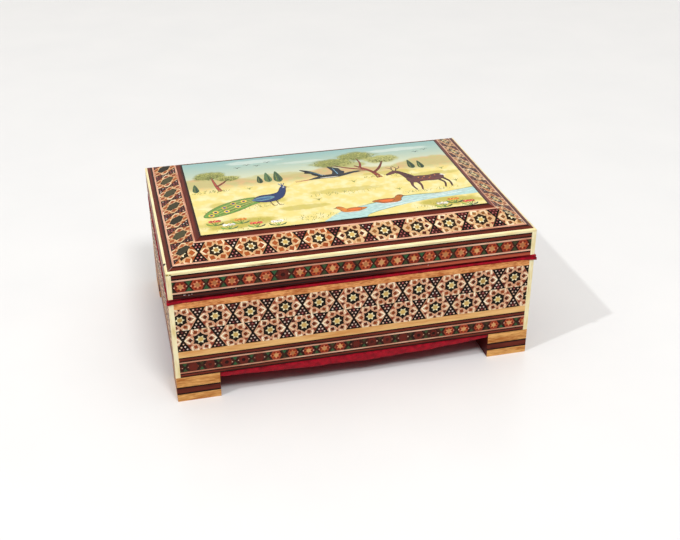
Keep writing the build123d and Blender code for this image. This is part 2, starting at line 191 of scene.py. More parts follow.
class Tree:
    """The shader nodes of a material or of the world."""

    def __init__(self, owner):
        owner.use_nodes = True
        self.nodes = owner.node_tree.nodes
        self.links = owner.node_tree.links

    def feed(self, socket, value):
        """Sets a socket, or links it where the value is another node's output."""
        if isinstance(value, bpy.types.NodeSocket):
            self.links.new(value, socket)
        else:
            socket.default_value = value

    def node(self, kind, *values, **settings):
        """A new node with these settings, whose first inputs take these values."""
        node = self.nodes.new("ShaderNode" + kind)
        for name, setting in settings.items():
            setattr(node, name, setting)
        for socket, value in zip(node.inputs, values):
            self.feed(socket, value)
        return node

    def vector(self, operation, first, second=(0.0, 0.0, 0.0)):
        node = self.node("VectorMath", first, second, operation=operation)
        return node.outputs["Value" if operation == "LENGTH" else "Vector"]

    def math(self, operation, first, second=0.0):
        return self.node("Math", first, second, operation=operation).outputs[0]

    def add(self, first, second):
        return self.math("ADD", first, second)

    def times(self, first, second):
        return self.math("MULTIPLY", first, second)

    def mean(self, first, second):
        return self.times(self.add(first, second), 0.5)

    def swing(self, value, amount):
        """A value from 0 to 1, spread by amount about nought."""
        return self.times(self.math("SUBTRACT", value, 0.5), amount)

    def split(self, vector):
        return tuple(self.node("SeparateXYZ", vector).outputs)

    def joined(self, x, y, z):
        return self.node("CombineXYZ", x, y, z).outputs[0]

    def noise(self, place, size, detail=2.0, distortion=0.0):
        """Noise from 0 to 1 with blotches about size millimetres across."""
        node = self.node("TexNoise", place)
        node.inputs["Scale"].default_value = 1.0 / size
        node.inputs["Detail"].default_value = detail
        node.inputs["Distortion"].default_value = distortion
        return node.outputs[0]

    def steps(self, value, low, high, to_low=0.0, to_high=1.0):
        """A smooth step from one level to another."""
        node = self.node("MapRange", value, low, high, to_low, to_high, interpolation_type="SMOOTHSTEP")
        return node.outputs[0]

    def falls(self, value, low, high, most=1.0):
        """A smooth fall to nought."""
        return self.steps(value, low, high, most, 0.0)

    def mix(self, factor, first, second):
        node = self.node("Mix", data_type="RGBA")
        for index, value in ((0, factor), (6, first), (7, second)):
            self.feed(node.inputs[index], value)
        return node.outputs[2]

    def ramp(self, factor, stops):
        """A colour ramp through (place, colour) stops."""
        node = self.node("ValToRGB", factor)
        elements = node.color_ramp.elements
        while len(elements) < len(stops):
            elements.new(1.0)
        for element, (place, colour) in zip(elements, stops):
            element.position = place
            element.color = colour
        return node.outputs[0]

    def attribute(self, name):
        return self.node("Attribute", attribute_name=name).outputs["Fac"]


class Finish(Tree):
    """One procedural material. Places inside it are in millimetres, in the shared frame at rest."""

    def __init__(self, name, roughness=0.5, coat=0.0, coat_roughness=0.1, specular=0.06, **others):
        self.material = bpy.data.materials.new(name)
        super().__init__(self.material)
        self.shader = self.nodes["Principled BSDF"]
        settings = {
            "Roughness": roughness,
            "Specular IOR Level": specular,
            "Coat Weight": coat,
            "Coat Roughness": coat_roughness,
        }
        for socket, value in (*settings.items(), *others.items()):
            self.shader.inputs[socket.replace("_", " ")].default_value = value
        coordinates = self.node("TexCoord").outputs
        self.facing = coordinates["Normal"]
        self.place = self.vector("MULTIPLY", coordinates["Object"], (PER_METRE,) * 3)

    def along(self, stretch):
        """Places with the way along the face first, drawn out so that noise streaks along it."""
        x, y, z = self.split(self.place)
        out_x, out_y, _ = self.split(self.facing)
        on_end = self.math("GREATER_THAN", self.math("ABSOLUTE", out_x), self.math("ABSOLUTE", out_y))
        swap = self.times(on_end, self.math("SUBTRACT", y, x))
        run = self.add(x, swap)
        across = self.math("SUBTRACT", y, swap)
        return self.joined(self.math("DIVIDE", run, stretch), across, z)

    def height(self, node):
        """The height between the lowest and highest level of a CAD node, from 0 to 1."""
        low, high = extent(node)
        return self.node("MapRange", self.split(self.place)[2], low.z, high.z).outputs[0]

    def colour(self, value):
        self.shown = value
        self.feed(self.shader.inputs["Base Color"], value)

    def tint(self, level, low, high, first, second):
        """Colours the surface with the first colour below the low level and the second above the high one."""
        self.colour(self.mix(self.steps(level, low, high), first, second))

    def bump(self, height, depth):
        """Relief of depth millimetres."""
        node = self.node("Bump")
        node.inputs["Distance"].default_value = depth * MM
        self.feed(node.inputs["Height"], height)
        self.feed(self.shader.inputs["Normal"], node.outputs[0])


# Materials

LACQUER_COAT = 0.08
BROAD_GRAIN = 5
UPRIGHT_STRETCH = (1.0, 1.0, 0.08)
STRIP_STRETCH = 16.0
STRIP_GRAIN = 0.7
FINE_MOTTLE = 0.35
SAW_GRAIN = 0.3
FIBRE_SIZE = 0.22
CLUMP_SIZE = 2.6
STREAK_SPAN = (0.36, 0.64)
STREAK_RELIEF = 0.02
UPRIGHT_GRAIN = 0.5
UPRIGHT_BLOTCH = 9.0
UPRIGHT_SPAN = (0.34, 0.6)
UPRIGHT_RELIEF = 0.015
DARK_STREAK_SPAN = (0.3, 0.7)
DARK_STREAK_SHARE = 0.5
LID_STRIP_SHIFT = 0.3
MOTTLE_SHARE = 0.35
BLOCK_SPAN = (0.38, 0.66)
SAW_RELIEF = 0.01
FELT_SPAN = (0.34, 0.62)
NAP_RELIEF = 0.12
BRASS_BLOTCH = 1.6
BRASS_SPAN = (0.4, 0.7)
SCRATCH_STRETCH = (0.15, 1.0, 1.0)
SCRATCH_SIZE = 0.12
LID_DARK_BROWN = srgb(84, 30, 22)
LID_LOWER_RED = srgb(188, 88, 62)
LID_LOWER_DEEP = srgb(146, 58, 42)
STRIP_STOPS = [
    (0.0, DARK_BROWN),
    (0.2, NEAR_BLACK),
    (0.4, STRIP_BROWN),
    (0.66, STRIP_BROWN),
    (0.84, NEAR_BLACK),
]
FRAME_STOPS = [
    (0.0, NEAR_BLACK),
    (0.14, DARK_BROWN),
    (0.3, FRAME_BROWN),
    (0.74, FRAME_BROWN),
    (0.94, NEAR_BLACK),
]
FOOT_STOPS = [
    (0.0, NEAR_BLACK),
    (0.14, NEAR_BLACK),
    (0.26, FRAME_BROWN),
    (0.74, FRAME_BROWN),
    (0.86, NEAR_BLACK),
]
LID_DARK_STOPS = [(0.0, DARK_BROWN), (0.2, NEAR_BLACK), (0.4, LID_DARK_BROWN), (0.84, NEAR_BLACK)]
LID_LOWER_STOPS = [(0.0, LID_LOWER_DEEP), (0.3, LID_LOWER_RED), (0.66, LID_LOWER_DEEP), (0.84, NEAR_BLACK)]
WEAR_SPAN = (20.0, 50.0)
WEAR_UNEVENNESS = 30.0
WEAR_STRETCH = 3.0
WEAR_SIZE = 6.0
EDGING_STAIN = srgb(120, 84, 40)
EDGING_STRETCH = 18.0
EDGING_GRAIN = 0.5
EDGING_SPAN = (0.35, 0.7)
STAIN_STRETCH = 6.0
STAIN_SIZE = 3.0
STAIN_RISE = (0.22, 0.62)
STAIN_SPAN = (0.52, 0.66)
EDGING_WORN_SPAN = (-50.0, -10.0)
EDGING_LEAST_WEAR = 0.3
# Where the painted shade on the inner sides of the feet fades out
PAINTED_SHADE_SPAN = (-40.0, -20.0)


def lacquered(name):
    return Finish(name, roughness=0.42, coat=LACQUER_COAT)


def streaked(name, light, deep, stretch=14.0, grain=0.9, coat=LACQUER_COAT, depth=0.02, roughness=0.45):
    """Wood or bone whose fine streaks run along each side of the box."""
    finish = Finish(name, roughness=roughness, coat=coat)
    place = finish.along(stretch)
    fine = finish.noise(place, grain, detail=4.0, distortion=0.4)
    broad = finish.noise(place, grain * BROAD_GRAIN)
    finish.tint(finish.mean(fine, broad), *STREAK_SPAN, deep, light)
    finish.bump(fine, depth)
    return finish


def foot_finish():
    """Foot wood, with painted dark red shade on the sides that look towards the middle of the box."""
    finish = streaked("foot_wood", FOOT_LIGHT, FOOT_DEEP, stretch=9.0, grain=0.42, depth=0.05)
    run = finish.split(finish.place)[0]
    way = finish.split(finish.facing)[0]
    # Painted shade on the sides that face in under the box
    painted_shade = finish.falls(finish.times(run, way), *PAINTED_SHADE_SPAN)
    finish.colour(finish.mix(painted_shade, finish.shown, FOOT_PAINTED_SHADE))
    return finish


def upright_bone(name):
    """Bone of the corner posts, with its streaks upright and a little yellow in the hollows."""
    finish = lacquered(name)
    stretched = finish.vector("MULTIPLY", finish.place, UPRIGHT_STRETCH)
    fine = finish.noise(stretched, UPRIGHT_GRAIN, detail=3.0)
    broad = finish.noise(finish.place, UPRIGHT_BLOTCH)
    finish.tint(finish.mean(fine, broad), *UPRIGHT_SPAN, BONE_DEEP, BONE)
    finish.bump(fine, UPRIGHT_RELIEF)
    return finish


def ragged_level(finish, node, shift):
    """The height in a strip from 0 to 1, roughened by streaks along it, and the streaks."""
    streaks = finish.noise(finish.along(STRIP_STRETCH), STRIP_GRAIN, detail=4.0, distortion=0.5)
    finish.bump(streaks, STREAK_RELIEF)
    return finish.add(finish.height(node), finish.swing(streaks, shift)), streaks


def banded(name, node, stops, shift=0.24):
    """A strip whose colours lie in lines along it, from its lower edge to its upper edge."""
    finish = lacquered(name)
    level, streaks = ragged_level(finish, node, shift)
    dark = finish.falls(streaks, *DARK_STREAK_SPAN, DARK_STREAK_SHARE)
    finish.colour(finish.mix(dark, finish.ramp(level, stops), NEAR_BLACK))
    return finish


def lid_lower_strip_finish():
    """The strip along the lower edge of the lid: near-black to the left, worn to red-brown to the right."""
    finish = lacquered("lid_lower_strip_wood")
    level, _ = ragged_level(finish, "lid_lower_dark_strips", LID_STRIP_SHIFT)
    run = finish.split(finish.place)[0]
    uneven = finish.times(finish.noise(finish.along(WEAR_STRETCH), WEAR_SIZE), WEAR_UNEVENNESS)
    share = finish.steps(finish.add(run, uneven), *WEAR_SPAN)
    finish.colour(finish.mix(share, finish.ramp(level, LID_DARK_STOPS), finish.ramp(level, LID_LOWER_STOPS)))
    return finish


def scatter(name, light, deep):
    """Colour of small inlaid pieces: each has a tone of its own, with a fine mottle."""
    finish = lacquered(name)
    mottle = finish.noise(finish.place, FINE_MOTTLE, detail=3.0)
    level = finish.add(finish.attribute("tone"), finish.swing(mottle, MOTTLE_SHARE))
    finish.tint(level, 0.0, 1.0, deep, light)
    return finish


def block_finish(name, light, deep, size):
    """The blocks that the small pieces are let into: mottled, with a fine saw grain."""
    finish = lacquered(name)
    finish.tint(finish.noise(finish.place, size, detail=4.0, distortion=0.6), *BLOCK_SPAN, light, deep)
    finish.bump(finish.noise(finish.place, SAW_GRAIN), SAW_RELIEF)
    return finish


def felt_finish(name, light, deep):
    """Felt: matted fibres with painted shade in the hollows, and a pale nap at a flat angle."""
    finish = Finish(name, roughness=0.95, specular=0.1, Sheen_Weight=0.12, Sheen_Roughness=0.5)
    fibres = finish.noise(finish.place, FIBRE_SIZE, detail=5.0, distortion=1.2)
    clumps = finish.noise(finish.place, CLUMP_SIZE, detail=3.0)
    # Where the fibres lie low the colour turns to the darker one: painted shade in the hollows
    finish.tint(finish.mean(fibres, clumps), *FELT_SPAN, deep, light)
    finish.bump(fibres, NAP_RELIEF)
    return finish


def brass_finish():
    """Hinge brass, dulled to brown in patches, scratched along its length."""
    finish = Finish("brass", roughness=0.32, specular=0.5, Metallic=1.0)
    finish.tint(finish.noise(finish.place, BRASS_BLOTCH, detail=5.0), *BRASS_SPAN, BRASS, BRASS_DARK)
    stretched = finish.vector("MULTIPLY", finish.place, SCRATCH_STRETCH)
    finish.bump(finish.noise(stretched, SCRATCH_SIZE, detail=3.0), SAW_RELIEF)
    return finish


def edging_finish():
    """Bone along the upper arris of the lid, rubbed brown along its lower edge, mostly to the left."""
    finish = Finish("edging_bone", roughness=0.4, coat=LACQUER_COAT)
    streaks = finish.noise(finish.along(EDGING_STRETCH), EDGING_GRAIN, detail=4.0)
    bone = finish.mix(finish.steps(streaks, *EDGING_SPAN), BONE, BONE_DEEP)
    patches = finish.noise(finish.along(STAIN_STRETCH), STAIN_SIZE, detail=3.0)
    low_edge = finish.falls(finish.height("lid_edging"), *STAIN_RISE)
    share = finish.steps(finish.split(finish.place)[0], *EDGING_WORN_SPAN, 1.0, EDGING_LEAST_WEAR)
    stains = finish.times(finish.steps(patches, *STAIN_SPAN), share)
    finish.colour(finish.mix(finish.times(low_edge, stains), bone, EDGING_STAIN))
    finish.bump(streaks, STREAK_RELIEF)
    return finish


# Thin flat pieces

class Side:
    """One face of the box: u runs along it, v up it and w out of it."""

    def __init__(self, turn, distance, height, lean=0.0):
        turned = Matrix.Rotation(math.radians(turn), 3, "Z")
        self.along = turned @ Vector((1.0, 0.0, 0.0))
        self.up = turned @ Vector((0.0, math.sin(lean), math.cos(lean)))
        self.out = turned @ Vector((0.0, -math.cos(lean), math.sin(lean)))
        self.foot = turned @ Vector((0.0, -distance, height))

    def spot(self, u, v, w):
        return (self.foot + self.along * u + self.up * v + self.out * w) * MM


def half_run_and_out(side):
    """Half the length of a side, and how far out it stands."""
    long_side = side in ("front", "back")
    return (HALF_LENGTH, HALF_DEPTH) if long_side else (HALF_DEPTH, HALF_LENGTH)


def upright_side(side):
    return Side(SIDES[side], half_run_and_out(side)[1], 0.0)


def slope_side(side):
    return Side(SIDES[side], half_run_and_out(side)[1], SLOPE_FOOT, math.pi / 2 - SLOPE_ANGLE)


def oblong(low_u, high_u, low_v, high_v):
    return [(low_u, low_v), (high_u, low_v), (high_u, high_v), (low_u, high_v)]


def signed_area(outline):
    return sum(a[0] * b[1] - b[0] * a[1] for a, b in zip(outline, outline[1:] + outline[:1])) / 2


class Batch:
    """Many thin flat pieces of one colour, gathered into one mesh."""

    def __init__(self, name, body, slot, finish):
        self.name = name
        self.body = body
        self.slot = slot
        self.finish = finish
        self.corners = []
        self.faces = []
        self.tones = []

    def add(self, side, outline, high, tone=0.5, low=SUNK):
        """A plate with this outline; its underside is let into what carries it."""
        if signed_area(outline) < 0:
            outline = outline[::-1]
        start = len(self.corners)
        count = len(outline)
        self.corners += [side.spot(u, v, low) for u, v in outline]
        self.corners += [side.spot(u, v, high) for u, v in outline]
        self.faces.append([start + index for index in reversed(range(count))])
        self.faces.append([start + count + index for index in range(count)])
        for index in range(count):
            corner = start + index
            after = start + (index + 1) % count
            self.faces.append([corner, after, after + count, corner + count])
        self.tones += [tone] * (count + 2)

    def make(self):
        mesh = bpy.data.meshes.new(self.name)
        mesh.from_pydata(self.corners, [], self.faces)
        tones = mesh.attributes.new("tone", "FLOAT", "FACE")
        tones.data.foreach_set("value", self.tones)
        placed(self.name, mesh, self.finish, self.body)


def placed(name, mesh, finish, body):
    """An object with this mesh that rides on a body."""
    piece = bpy.data.objects.new(name, mesh)
    bpy.context.scene.collection.objects.link(piece)
    mesh.materials.append(finish.material)
    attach(piece, body)
    return piece


def clipped(outline, region):
    """The part of an outline that lies in a convex region whose corners go anticlockwise."""
    kept = outline
    for start, end in zip(region, region[1:] + region[:1]):
        along = (end[0] - start[0], end[1] - start[1])

        def inside_by(point):
            return along[0] * (point[1] - start[1]) - along[1] * (point[0] - start[0])

        source = kept
        kept = []
        for first, second in zip(source, source[1:] + source[:1]):
            first_by = inside_by(first)
            second_by = inside_by(second)
            if first_by >= 0:
                kept.append(first)
            if (first_by >= 0) != (second_by >= 0):
                share = first_by / (first_by - second_by)
                kept.append(tuple(a + (b - a) * share for a, b in zip(first, second)))
        if len(kept) < 3:
            return []
    return kept


LEAST_AREA = 0.01


def make_all(batches):
    for batch in batches.values():
        if batch.corners:
            batch.make()


def moved(outline, centre, turn=0.0, scale=1.0):
    """An outline turned by degrees about its own origin and put at a centre."""
    cos = math.cos(math.radians(turn)) * scale
    sin = math.sin(math.radians(turn)) * scale
    return [(centre[0] + u * cos - v * sin, centre[1] + u * sin + v * cos) for u, v in outline]


def polar(radius, degrees):
    return (radius * math.cos(math.radians(degrees)), radius * math.sin(math.radians(degrees)))


def ring(radius, count, turn=0.0):
    return [polar(radius, turn + 360.0 / count * index) for index in range(count)]


# Pieces of one star, drawn pointing to the right from its centre
STAR_CORE_RADIUS = 1.2
STAR_TIP_RADIUS = 2.1
PETAL_OUTLINE = [(2.95, 0.0), (4.75, -1.9), (6.85, 0.0), (4.75, 1.9)]
PETAL_HEART_OUTLINE = [(3.2, 0.0), (4.65, -1.25), (5.95, 0.0), (4.65, 1.25)]
DIAMOND_OUTLINE = [(3.1, 0.0), (4.15, -1.15), (5.2, 0.0), (4.15, 1.15)]
EDGE_OUTLINE = [(4.1, 0.0), (5.85, -0.95), (5.85, 0.95)]
LID_PETAL_OUTLINE = [(2.95, 0.0), (4.75, -1.95), (6.85, 0.0), (4.75, 1.95)]
LID_DIAMOND_OUTLINE = [(3.2, 0.0), (4.3, -1.25), (5.6, 0.0), (4.3, 1.25)]
LID_EDGE_OUTLINE = [(4.7, 0.0), (5.95, -1.0), (5.95, 1.0)]
RICH_DIAMOND_OUTLINE = [(3.05, 0.0), (4.5, -1.55), (6.0, 0.0), (4.5, 1.55)]
RICH_EDGE_OUTLINE = [(4.3, 0.0), (5.95, -1.45), (5.95, 1.45)]
HEART_POINT_OUTLINE = [(2.6, -0.75), (3.65, 0.0), (2.6, 0.75)]
DULL_HEART_RADIUS = 3.55
TIP_DOT_PLACE = 5.55
TIP_DOT_RADIUS = 0.34
DOT_RADIUS = 0.36
DOT_SIDES = 7
DOT_ROWS = (3, 2, 1)
DOT_PITCH = 1.6
DOT_ROW_STEP = 1.35
DOT_EDGE_GAP = 0.9
RED_GROUND = [(-1.5, -0.7), (1.5, -0.7), (0.0, -3.3)]
LID_RED_GROUND = [(-2.1, -0.25), (2.1, -0.25), (0.0, -3.5)]
STAR_TURN_SPREAD = 2.5
STAR_SHIFT_SPREAD = 0.14
STAR_SCALE_SPREAD = 0.025
BIT_SHIFT_SPREAD = 0.1
DOT_SIZE_SPREAD = 0.15
PINK_SHARE = 0.75
DULL_SHARE = 0.08
RICH_END = -14.0


def jitter(spread):
    return rng.uniform(-spread, spread)


def places(reach, pitch, phase):
    """Centres of the stars of a row that may show within this reach of its middle."""
    first = math.ceil((-reach - phase) / pitch)
    last = math.floor((reach - phase) / pitch)
    return [phase + pitch * place for place in range(first, last + 1)]


class Inlay:
    """The batches of one body, and the region that pieces are cut to."""

    def __init__(self, body):
        self.body = body
        self.lid = body == "lid"
        self.dull = False
        petal_colours = (LID_PETAL, LID_PETAL_DEEP) if self.lid else (PETAL, PETAL_DEEP)
        kinds = {
            "khatam_petals": (*petal_colours, "star_bone"),
            "khatam_petal_hearts": (STAR_BONE, STAR_BLUSH, "star_bone"),
            "khatam_diamonds": (OCHRE_BROWN if self.lid else RED_BROWN, DARK_RED_BROWN, "brown_wood"),
            "khatam_rich_bits": (RICH_BROWN, RED_BROWN, "brown_wood"),
            "khatam_edge_triangles": (RED_BIT, RED_BIT_DEEP, "brown_wood"),
            "khatam_tip_dots": (TIP_GREY, TIP_BROWN, "black_wood"),
            "khatam_heart_points": (BLACK_WARM, NEAR_BLACK, "black_wood"),
            "khatam_dull_hearts": (OLIVE_GREY, OLIVE_BLACK, "black_wood"),
            "khatam_star_centres": (GOLD, GOLD_DEEP, "brass"),
            "khatam_star_tips": (BONE, PALE_GOLD, "bone"),
            "khatam_white_dots": (DOT_WHITE, LINE_PINK, "bone"),
            "khatam_pink_dots": (DOT_PINK, DOT_RED, "brown_wood"),
            "khatam_red_grounds": (FILLER_RED, NEAR_BLACK, "brown_wood"),
            "band_rings": (RING_ORANGE, RING_RED, "brown_wood"),
            "band_ring_reds": (RING_RED, DULL_RED, "brown_wood"),
            "band_star_centres": (BAND_GOLD, BAND_GOLD_DEEP, "brass"),
            "band_star_tips": (TIP_ORANGE, ORANGE_BROWN, "star_bone"),
            "band_greens": (GREEN, GREEN_DEEP, "black_wood"),
            "band_pinks": (LINE_PINK, RED_BROWN, "star_bone"),
            "band_dull_stars": (DULL_RED, NEAR_BLACK, "brown_wood"),
        }
        self.batches = {}
        for kind, (light, deep, slot) in kinds.items():
            name = body + "_" + kind
            self.batches[kind] = Batch(name, body, slot, scatter(name, light, deep))
        self.side = None
        self.region = None

    def put(self, kind, outline, high, tone=None):
        """One piece, cut to the region; its tone is drawn at random unless given."""
        tone = rng.random() if tone is None else tone
        piece = clipped(outline, self.region)
        if piece and abs(signed_area(piece)) > LEAST_AREA:
            self.batches[kind].add(self.side, piece, high, tone)

    def star(self, centre, radius):
        """The small pieces of one khatam star."""
        scale = radius / STAR_RADIUS * (1 + jitter(STAR_SCALE_SPREAD))
        turn = jitter(STAR_TURN_SPREAD)
        centre = (centre[0] + jitter(STAR_SHIFT_SPREAD), centre[1] + jitter(STAR_SHIFT_SPREAD))
        petal = LID_PETAL_OUTLINE if self.lid else PETAL_OUTLINE
        diamond = LID_DIAMOND_OUTLINE if self.lid else DIAMOND_OUTLINE
        edge = LID_EDGE_OUTLINE if self.lid else EDGE_OUTLINE
        rich = self.lid and (self.dull or centre[0] < RICH_END)
        if rich:
            diamond = RICH_DIAMOND_OUTLINE
            edge = RICH_EDGE_OUTLINE
        core = STAR_CORE_RADIUS
        tip = [polar(core, -HALF_SIXTH), (STAR_TIP_RADIUS, 0.0), polar(core, HALF_SIXTH)]
        if self.dull:
            heart = ring(DULL_HEART_RADIUS, 6, HALF_SIXTH)
            self.put("khatam_dull_hearts", moved(heart, centre, turn, scale), PROUD)
        else:
            self.put("khatam_star_centres", moved(ring(core, 6, HALF_SIXTH), centre, turn, scale), PROUD)
        for index in range(6):
            angle = turn + SIXTH * index
            nudged = (centre[0] + jitter(BIT_SHIFT_SPREAD), centre[1] + jitter(BIT_SHIFT_SPREAD))
            if not self.dull:
                self.put("khatam_star_tips", moved(tip, centre, angle, scale), PROUD)
            self.put("khatam_petals", moved(petal, centre, angle, scale), PROUD)
            if not self.lid:
                self.put("khatam_petal_hearts", moved(PETAL_HEART_OUTLINE, centre, angle, scale), PROUDER)
            bits = "khatam_rich_bits" if rich else "khatam_diamonds"
            self.put(bits, moved(diamond, nudged, angle, scale), PROUDEST)
            bits = "khatam_rich_bits" if rich else "khatam_edge_triangles"
            self.put(bits, moved(edge, centre, angle + HALF_SIXTH, scale), PROUDER)
            point = moved(HEART_POINT_OUTLINE, centre, angle + HALF_SIXTH, scale)
            self.put("khatam_heart_points", point, PROUDER)
            if not self.lid:
                spot = polar(TIP_DOT_PLACE * scale, angle)
                dot = moved(ring(TIP_DOT_RADIUS, 5), (nudged[0] + spot[0], nudged[1] + spot[1]), angle)
                self.put("khatam_tip_dots", dot, PROUDEST)

    def filler(self, middle, half_height, way):
        """The dots of one dark triangle; way is 1 for the upper one and -1 for the lower."""
        outer = middle[1] + way * half_height
        ground = LID_RED_GROUND if self.lid else RED_GROUND
        shape = [(middle[0] + u, outer + way * v) for u, v in ground]
        self.put("khatam_red_grounds", shape, PROUD)
        for row, count in enumerate(DOT_ROWS):
            height = outer - way * (DOT_EDGE_GAP + DOT_ROW_STEP * row)
            for index in range(count):
                across = middle[0] + (index - (count - 1) / 2) * DOT_PITCH
                centre = (across + jitter(BIT_SHIFT_SPREAD), height + jitter(BIT_SHIFT_SPREAD))
                inner = (row, index) == (0, 1) or (self.lid and rng.random() < PINK_SHARE)
                kind = "khatam_pink_dots" if inner else "khatam_white_dots"
                radius = DOT_RADIUS * (1 + jitter(DOT_SIZE_SPREAD))
                self.put(kind, moved(ring(radius, DOT_SIDES), centre, rng.uniform(0, SIXTH)), PROUDER)

    def khatam_row(self, side, region, middle, half_height, pitch, phase, radius):
        """One row of stars and the fillers between them."""
        self.side = side
        self.region = region
        for centre in places(max(u for u, _ in region) + pitch, pitch, phase):
            self.star((centre, middle), radius)
            for way in (1, -1):
                self.filler((centre + pitch / 2, middle), half_height, way)

    def band_row(self, side, node, pitch, phase):
        """A narrow band of small stars."""
        low, high = extent(node)
        middle = (high.z + low.z) / 2
        half_run = half_run_and_out(side)[0] - POST_WIDTH
        self.side = upright_side(side)
        self.region = oblong(-half_run, half_run, low.z, high.z)
        size = (high.z - low.z) / 2 / BAND_HALF_HEIGHT
        dull_spans = DULL_SPANS[self.body] if side == "front" else ()
        for run in places(half_run + pitch, pitch, phase):
            dull = any(start < run < end for start, end in dull_spans)
            self.band_star((run, middle), size, dull)
            self.band_cross((run + pitch / 2, middle), size)

    def band_star(self, centre, size, dull):
        """One small star in its ring; a dull one has lost its gold."""
        dull = dull or rng.random() < DULL_SHARE
        turn = jitter(STAR_TURN_SPREAD * 2)
        size *= 1 + jitter(BAND_SCALE_SPREAD)
        centre = (centre[0] + jitter(STAR_SHIFT_SPREAD), centre[1] + jitter(STAR_SHIFT_SPREAD / 2))
        rings = "band_dull_stars" if dull else "band_rings"
        points = "band_ring_reds" if dull else "band_star_tips"
        hearts = "band_dull_stars" if dull else "band_star_centres"
        self.put(rings, moved(BAND_RING, centre, turn, size), PROUD, rng.uniform(*RING_TONES))
        core = BAND_CORE_RADIUS
        self.put(hearts, moved(ring(core, 6), centre, turn, size), PROUDER, rng.uniform(*HEART_TONES))
        tip = [polar(core, -HALF_SIXTH), (BAND_TIP_RADIUS, 0.0), polar(core, HALF_SIXTH)]
        for index in range(6):
            angle = turn + SIXTH * index
            self.put(points, moved(tip, centre, angle + HALF_SIXTH, size), PROUDER)
            self.put("band_ring_reds", moved(BAND_RED, centre, angle, size), PROUDER)
        for way in (0.0, 180.0):
            self.put("band_pinks", moved(BAND_PINK, centre, turn + way, size), PROUDER)

    def band_cross(self, centre, size):
        """Green triangles above and below the black cross between two small stars."""
        for way in (1, -1):
            shape = [(centre[0] + u * size, centre[1] + way * v * size) for u, v in BAND_GREEN]
            self.put("band_greens", shape, PROUD)

    def make(self):
        make_all(self.batches)


# Pieces of one small star, for a band of this half height
BAND_HALF_HEIGHT = 2.5
BAND_CORE_RADIUS = 1.05
BAND_TIP_RADIUS = 1.95
BAND_RING = [(2.85, 0.0), (1.5, 2.45), (-1.5, 2.45), (-2.85, 0.0), (-1.5, -2.45), (1.5, -2.45)]
BAND_RED = [(1.25, 0.0), (1.75, -0.42), (2.3, 0.0), (1.75, 0.42)]
BAND_PINK = [(2.35, -0.4), (3.0, 0.0), (2.35, 0.4)]
BAND_GREEN = [(-1.2, 2.3), (1.2, 2.3), (0.0, 0.35)]
BAND_SCALE_SPREAD = 0.05
RING_TONES = (0.3, 1.0)
HEART_TONES = (0.2, 1.0)

# Stretches of the front bands whose stars have lost their gold
DULL_SPANS = {
    "case": ((-100.0, -40.0), (-2.0, 38.0)),
    "lid": ((-37.0, -27.0), (-24.0, -19.0)),
}


def inlay_case():
    inlay = Inlay("case")
    row_height = (KHATAM_TOP - KHATAM_BOTTOM) / 2
    for side in SIDES:
        half_run = half_run_and_out(side)[0] - POST_WIDTH
        phases = (LOWER_ROW_PHASE, UPPER_ROW_PHASE)
        if side in ("left", "right"):
            phases = (END_ROW_PHASE, END_ROW_PHASE - STAR_PITCH / 2)
        for row, phase in enumerate(phases):
            low = KHATAM_BOTTOM + row_height * row
            region = oblong(-half_run, half_run, low, low + row_height)
            middle = low + row_height / 2
            face = upright_side(side)
            inlay.khatam_row(face, region, middle, row_height / 2, STAR_PITCH, phase, STAR_RADIUS)
        inlay.band_row(side, "case_star_bands", CASE_BAND_PITCH, CASE_BAND_PHASE)
    inlay.make()


def inlay_lid():
    inlay = Inlay("lid")
    stretch = 1 / math.cos(SLOPE_ANGLE)
    low, high = LID_KHATAM_INSETS
    for side in SIDES:
        half_run = half_run_and_out(side)[0]
        region = [
            (-half_run + low, low * stretch),
            (half_run - low, low * stretch),
            (half_run - high, high * stretch),
            (-half_run + high, high * stretch),
        ]
        phase = LID_ROW_PHASE if side in ("front", "back") else 0.0
        inlay.dull = side == "left"
        middle = (low + high) / 2 * stretch
        half_height = (high - low) / 2 * stretch
        face = slope_side(side)
        inlay.khatam_row(face, region, middle, half_height, LID_STAR_PITCH, phase, LID_STAR_RADIUS)
        inlay.band_row(side, "lid_star_bands", LID_BAND_PITCH, LID_BAND_PHASE)
    inlay.make()


# Wear on the lid, as outlines along and up each face, and painted glints by place, height and length
NOTCH = [(46.1, -0.1), (48.0, -0.1), (47.7, 0.75), (46.5, 0.95)]
WORN_CORNER = [(-79.95, 62.1), (-78.9, 62.3), (-79.1, 62.95), (-79.95, 63.1)]
CORNER_CHIP = [(-79.0, 62.2), (-77.6, 62.3), (-78.2, 62.75)]
MITRE_LINE = [(-78.75, 1.2), (-76.8, 3.3), (-76.95, 3.45), (-78.95, 1.25)]
GLINT_MARKS = [
    (-73.2, 52.5, 1.3),
    (-71.4, 52.2, 0.9),
    (-70.2, 52.6, 0.7),
    (-52.0, 52.4, 0.5),
    (31.0, 52.3, 0.6),
]
GLINT_HALF_HEIGHT = 0.09
WEAR_HIGH = 0.02


def wear_lid():
    """Small chips, rubbed spots, and pale plates of painted glint."""
    marks = [
        ("dark_notch", slope_side("left"), CHIP_DARK, [NOTCH]),
        ("worn_corner", upright_side("front"), CHIP_GOLD, [WORN_CORNER]),
        ("corner_chip", upright_side("front"), CHIP_DARK, [CORNER_CHIP]),
        ("mitre_line", slope_side("front"), MITRE_GREY, [MITRE_LINE]),
    ]
    painted_glints = []
    # Pale plates along the lid's front that are painted glints
    for u, z, length in GLINT_MARKS:
        half = length / 2
        low, high = z - GLINT_HALF_HEIGHT, z + GLINT_HALF_HEIGHT
        painted_glints.append([(u - half, z), (u, low), (u + half, z), (u, high)])
    marks.append(("painted_glints", upright_side("front"), GLINT_PALE, painted_glints))
    for name, face, paint, outlines in marks:
        batch = Batch("lid_" + name, "lid", "bone", scatter("lid_" + name, paint, paint))
        for outline in outlines:
            batch.add(face, outline, WEAR_HIGH)
        batch.make()


# The painting: a river bank with birds, a deer and trees, of the builder's own design

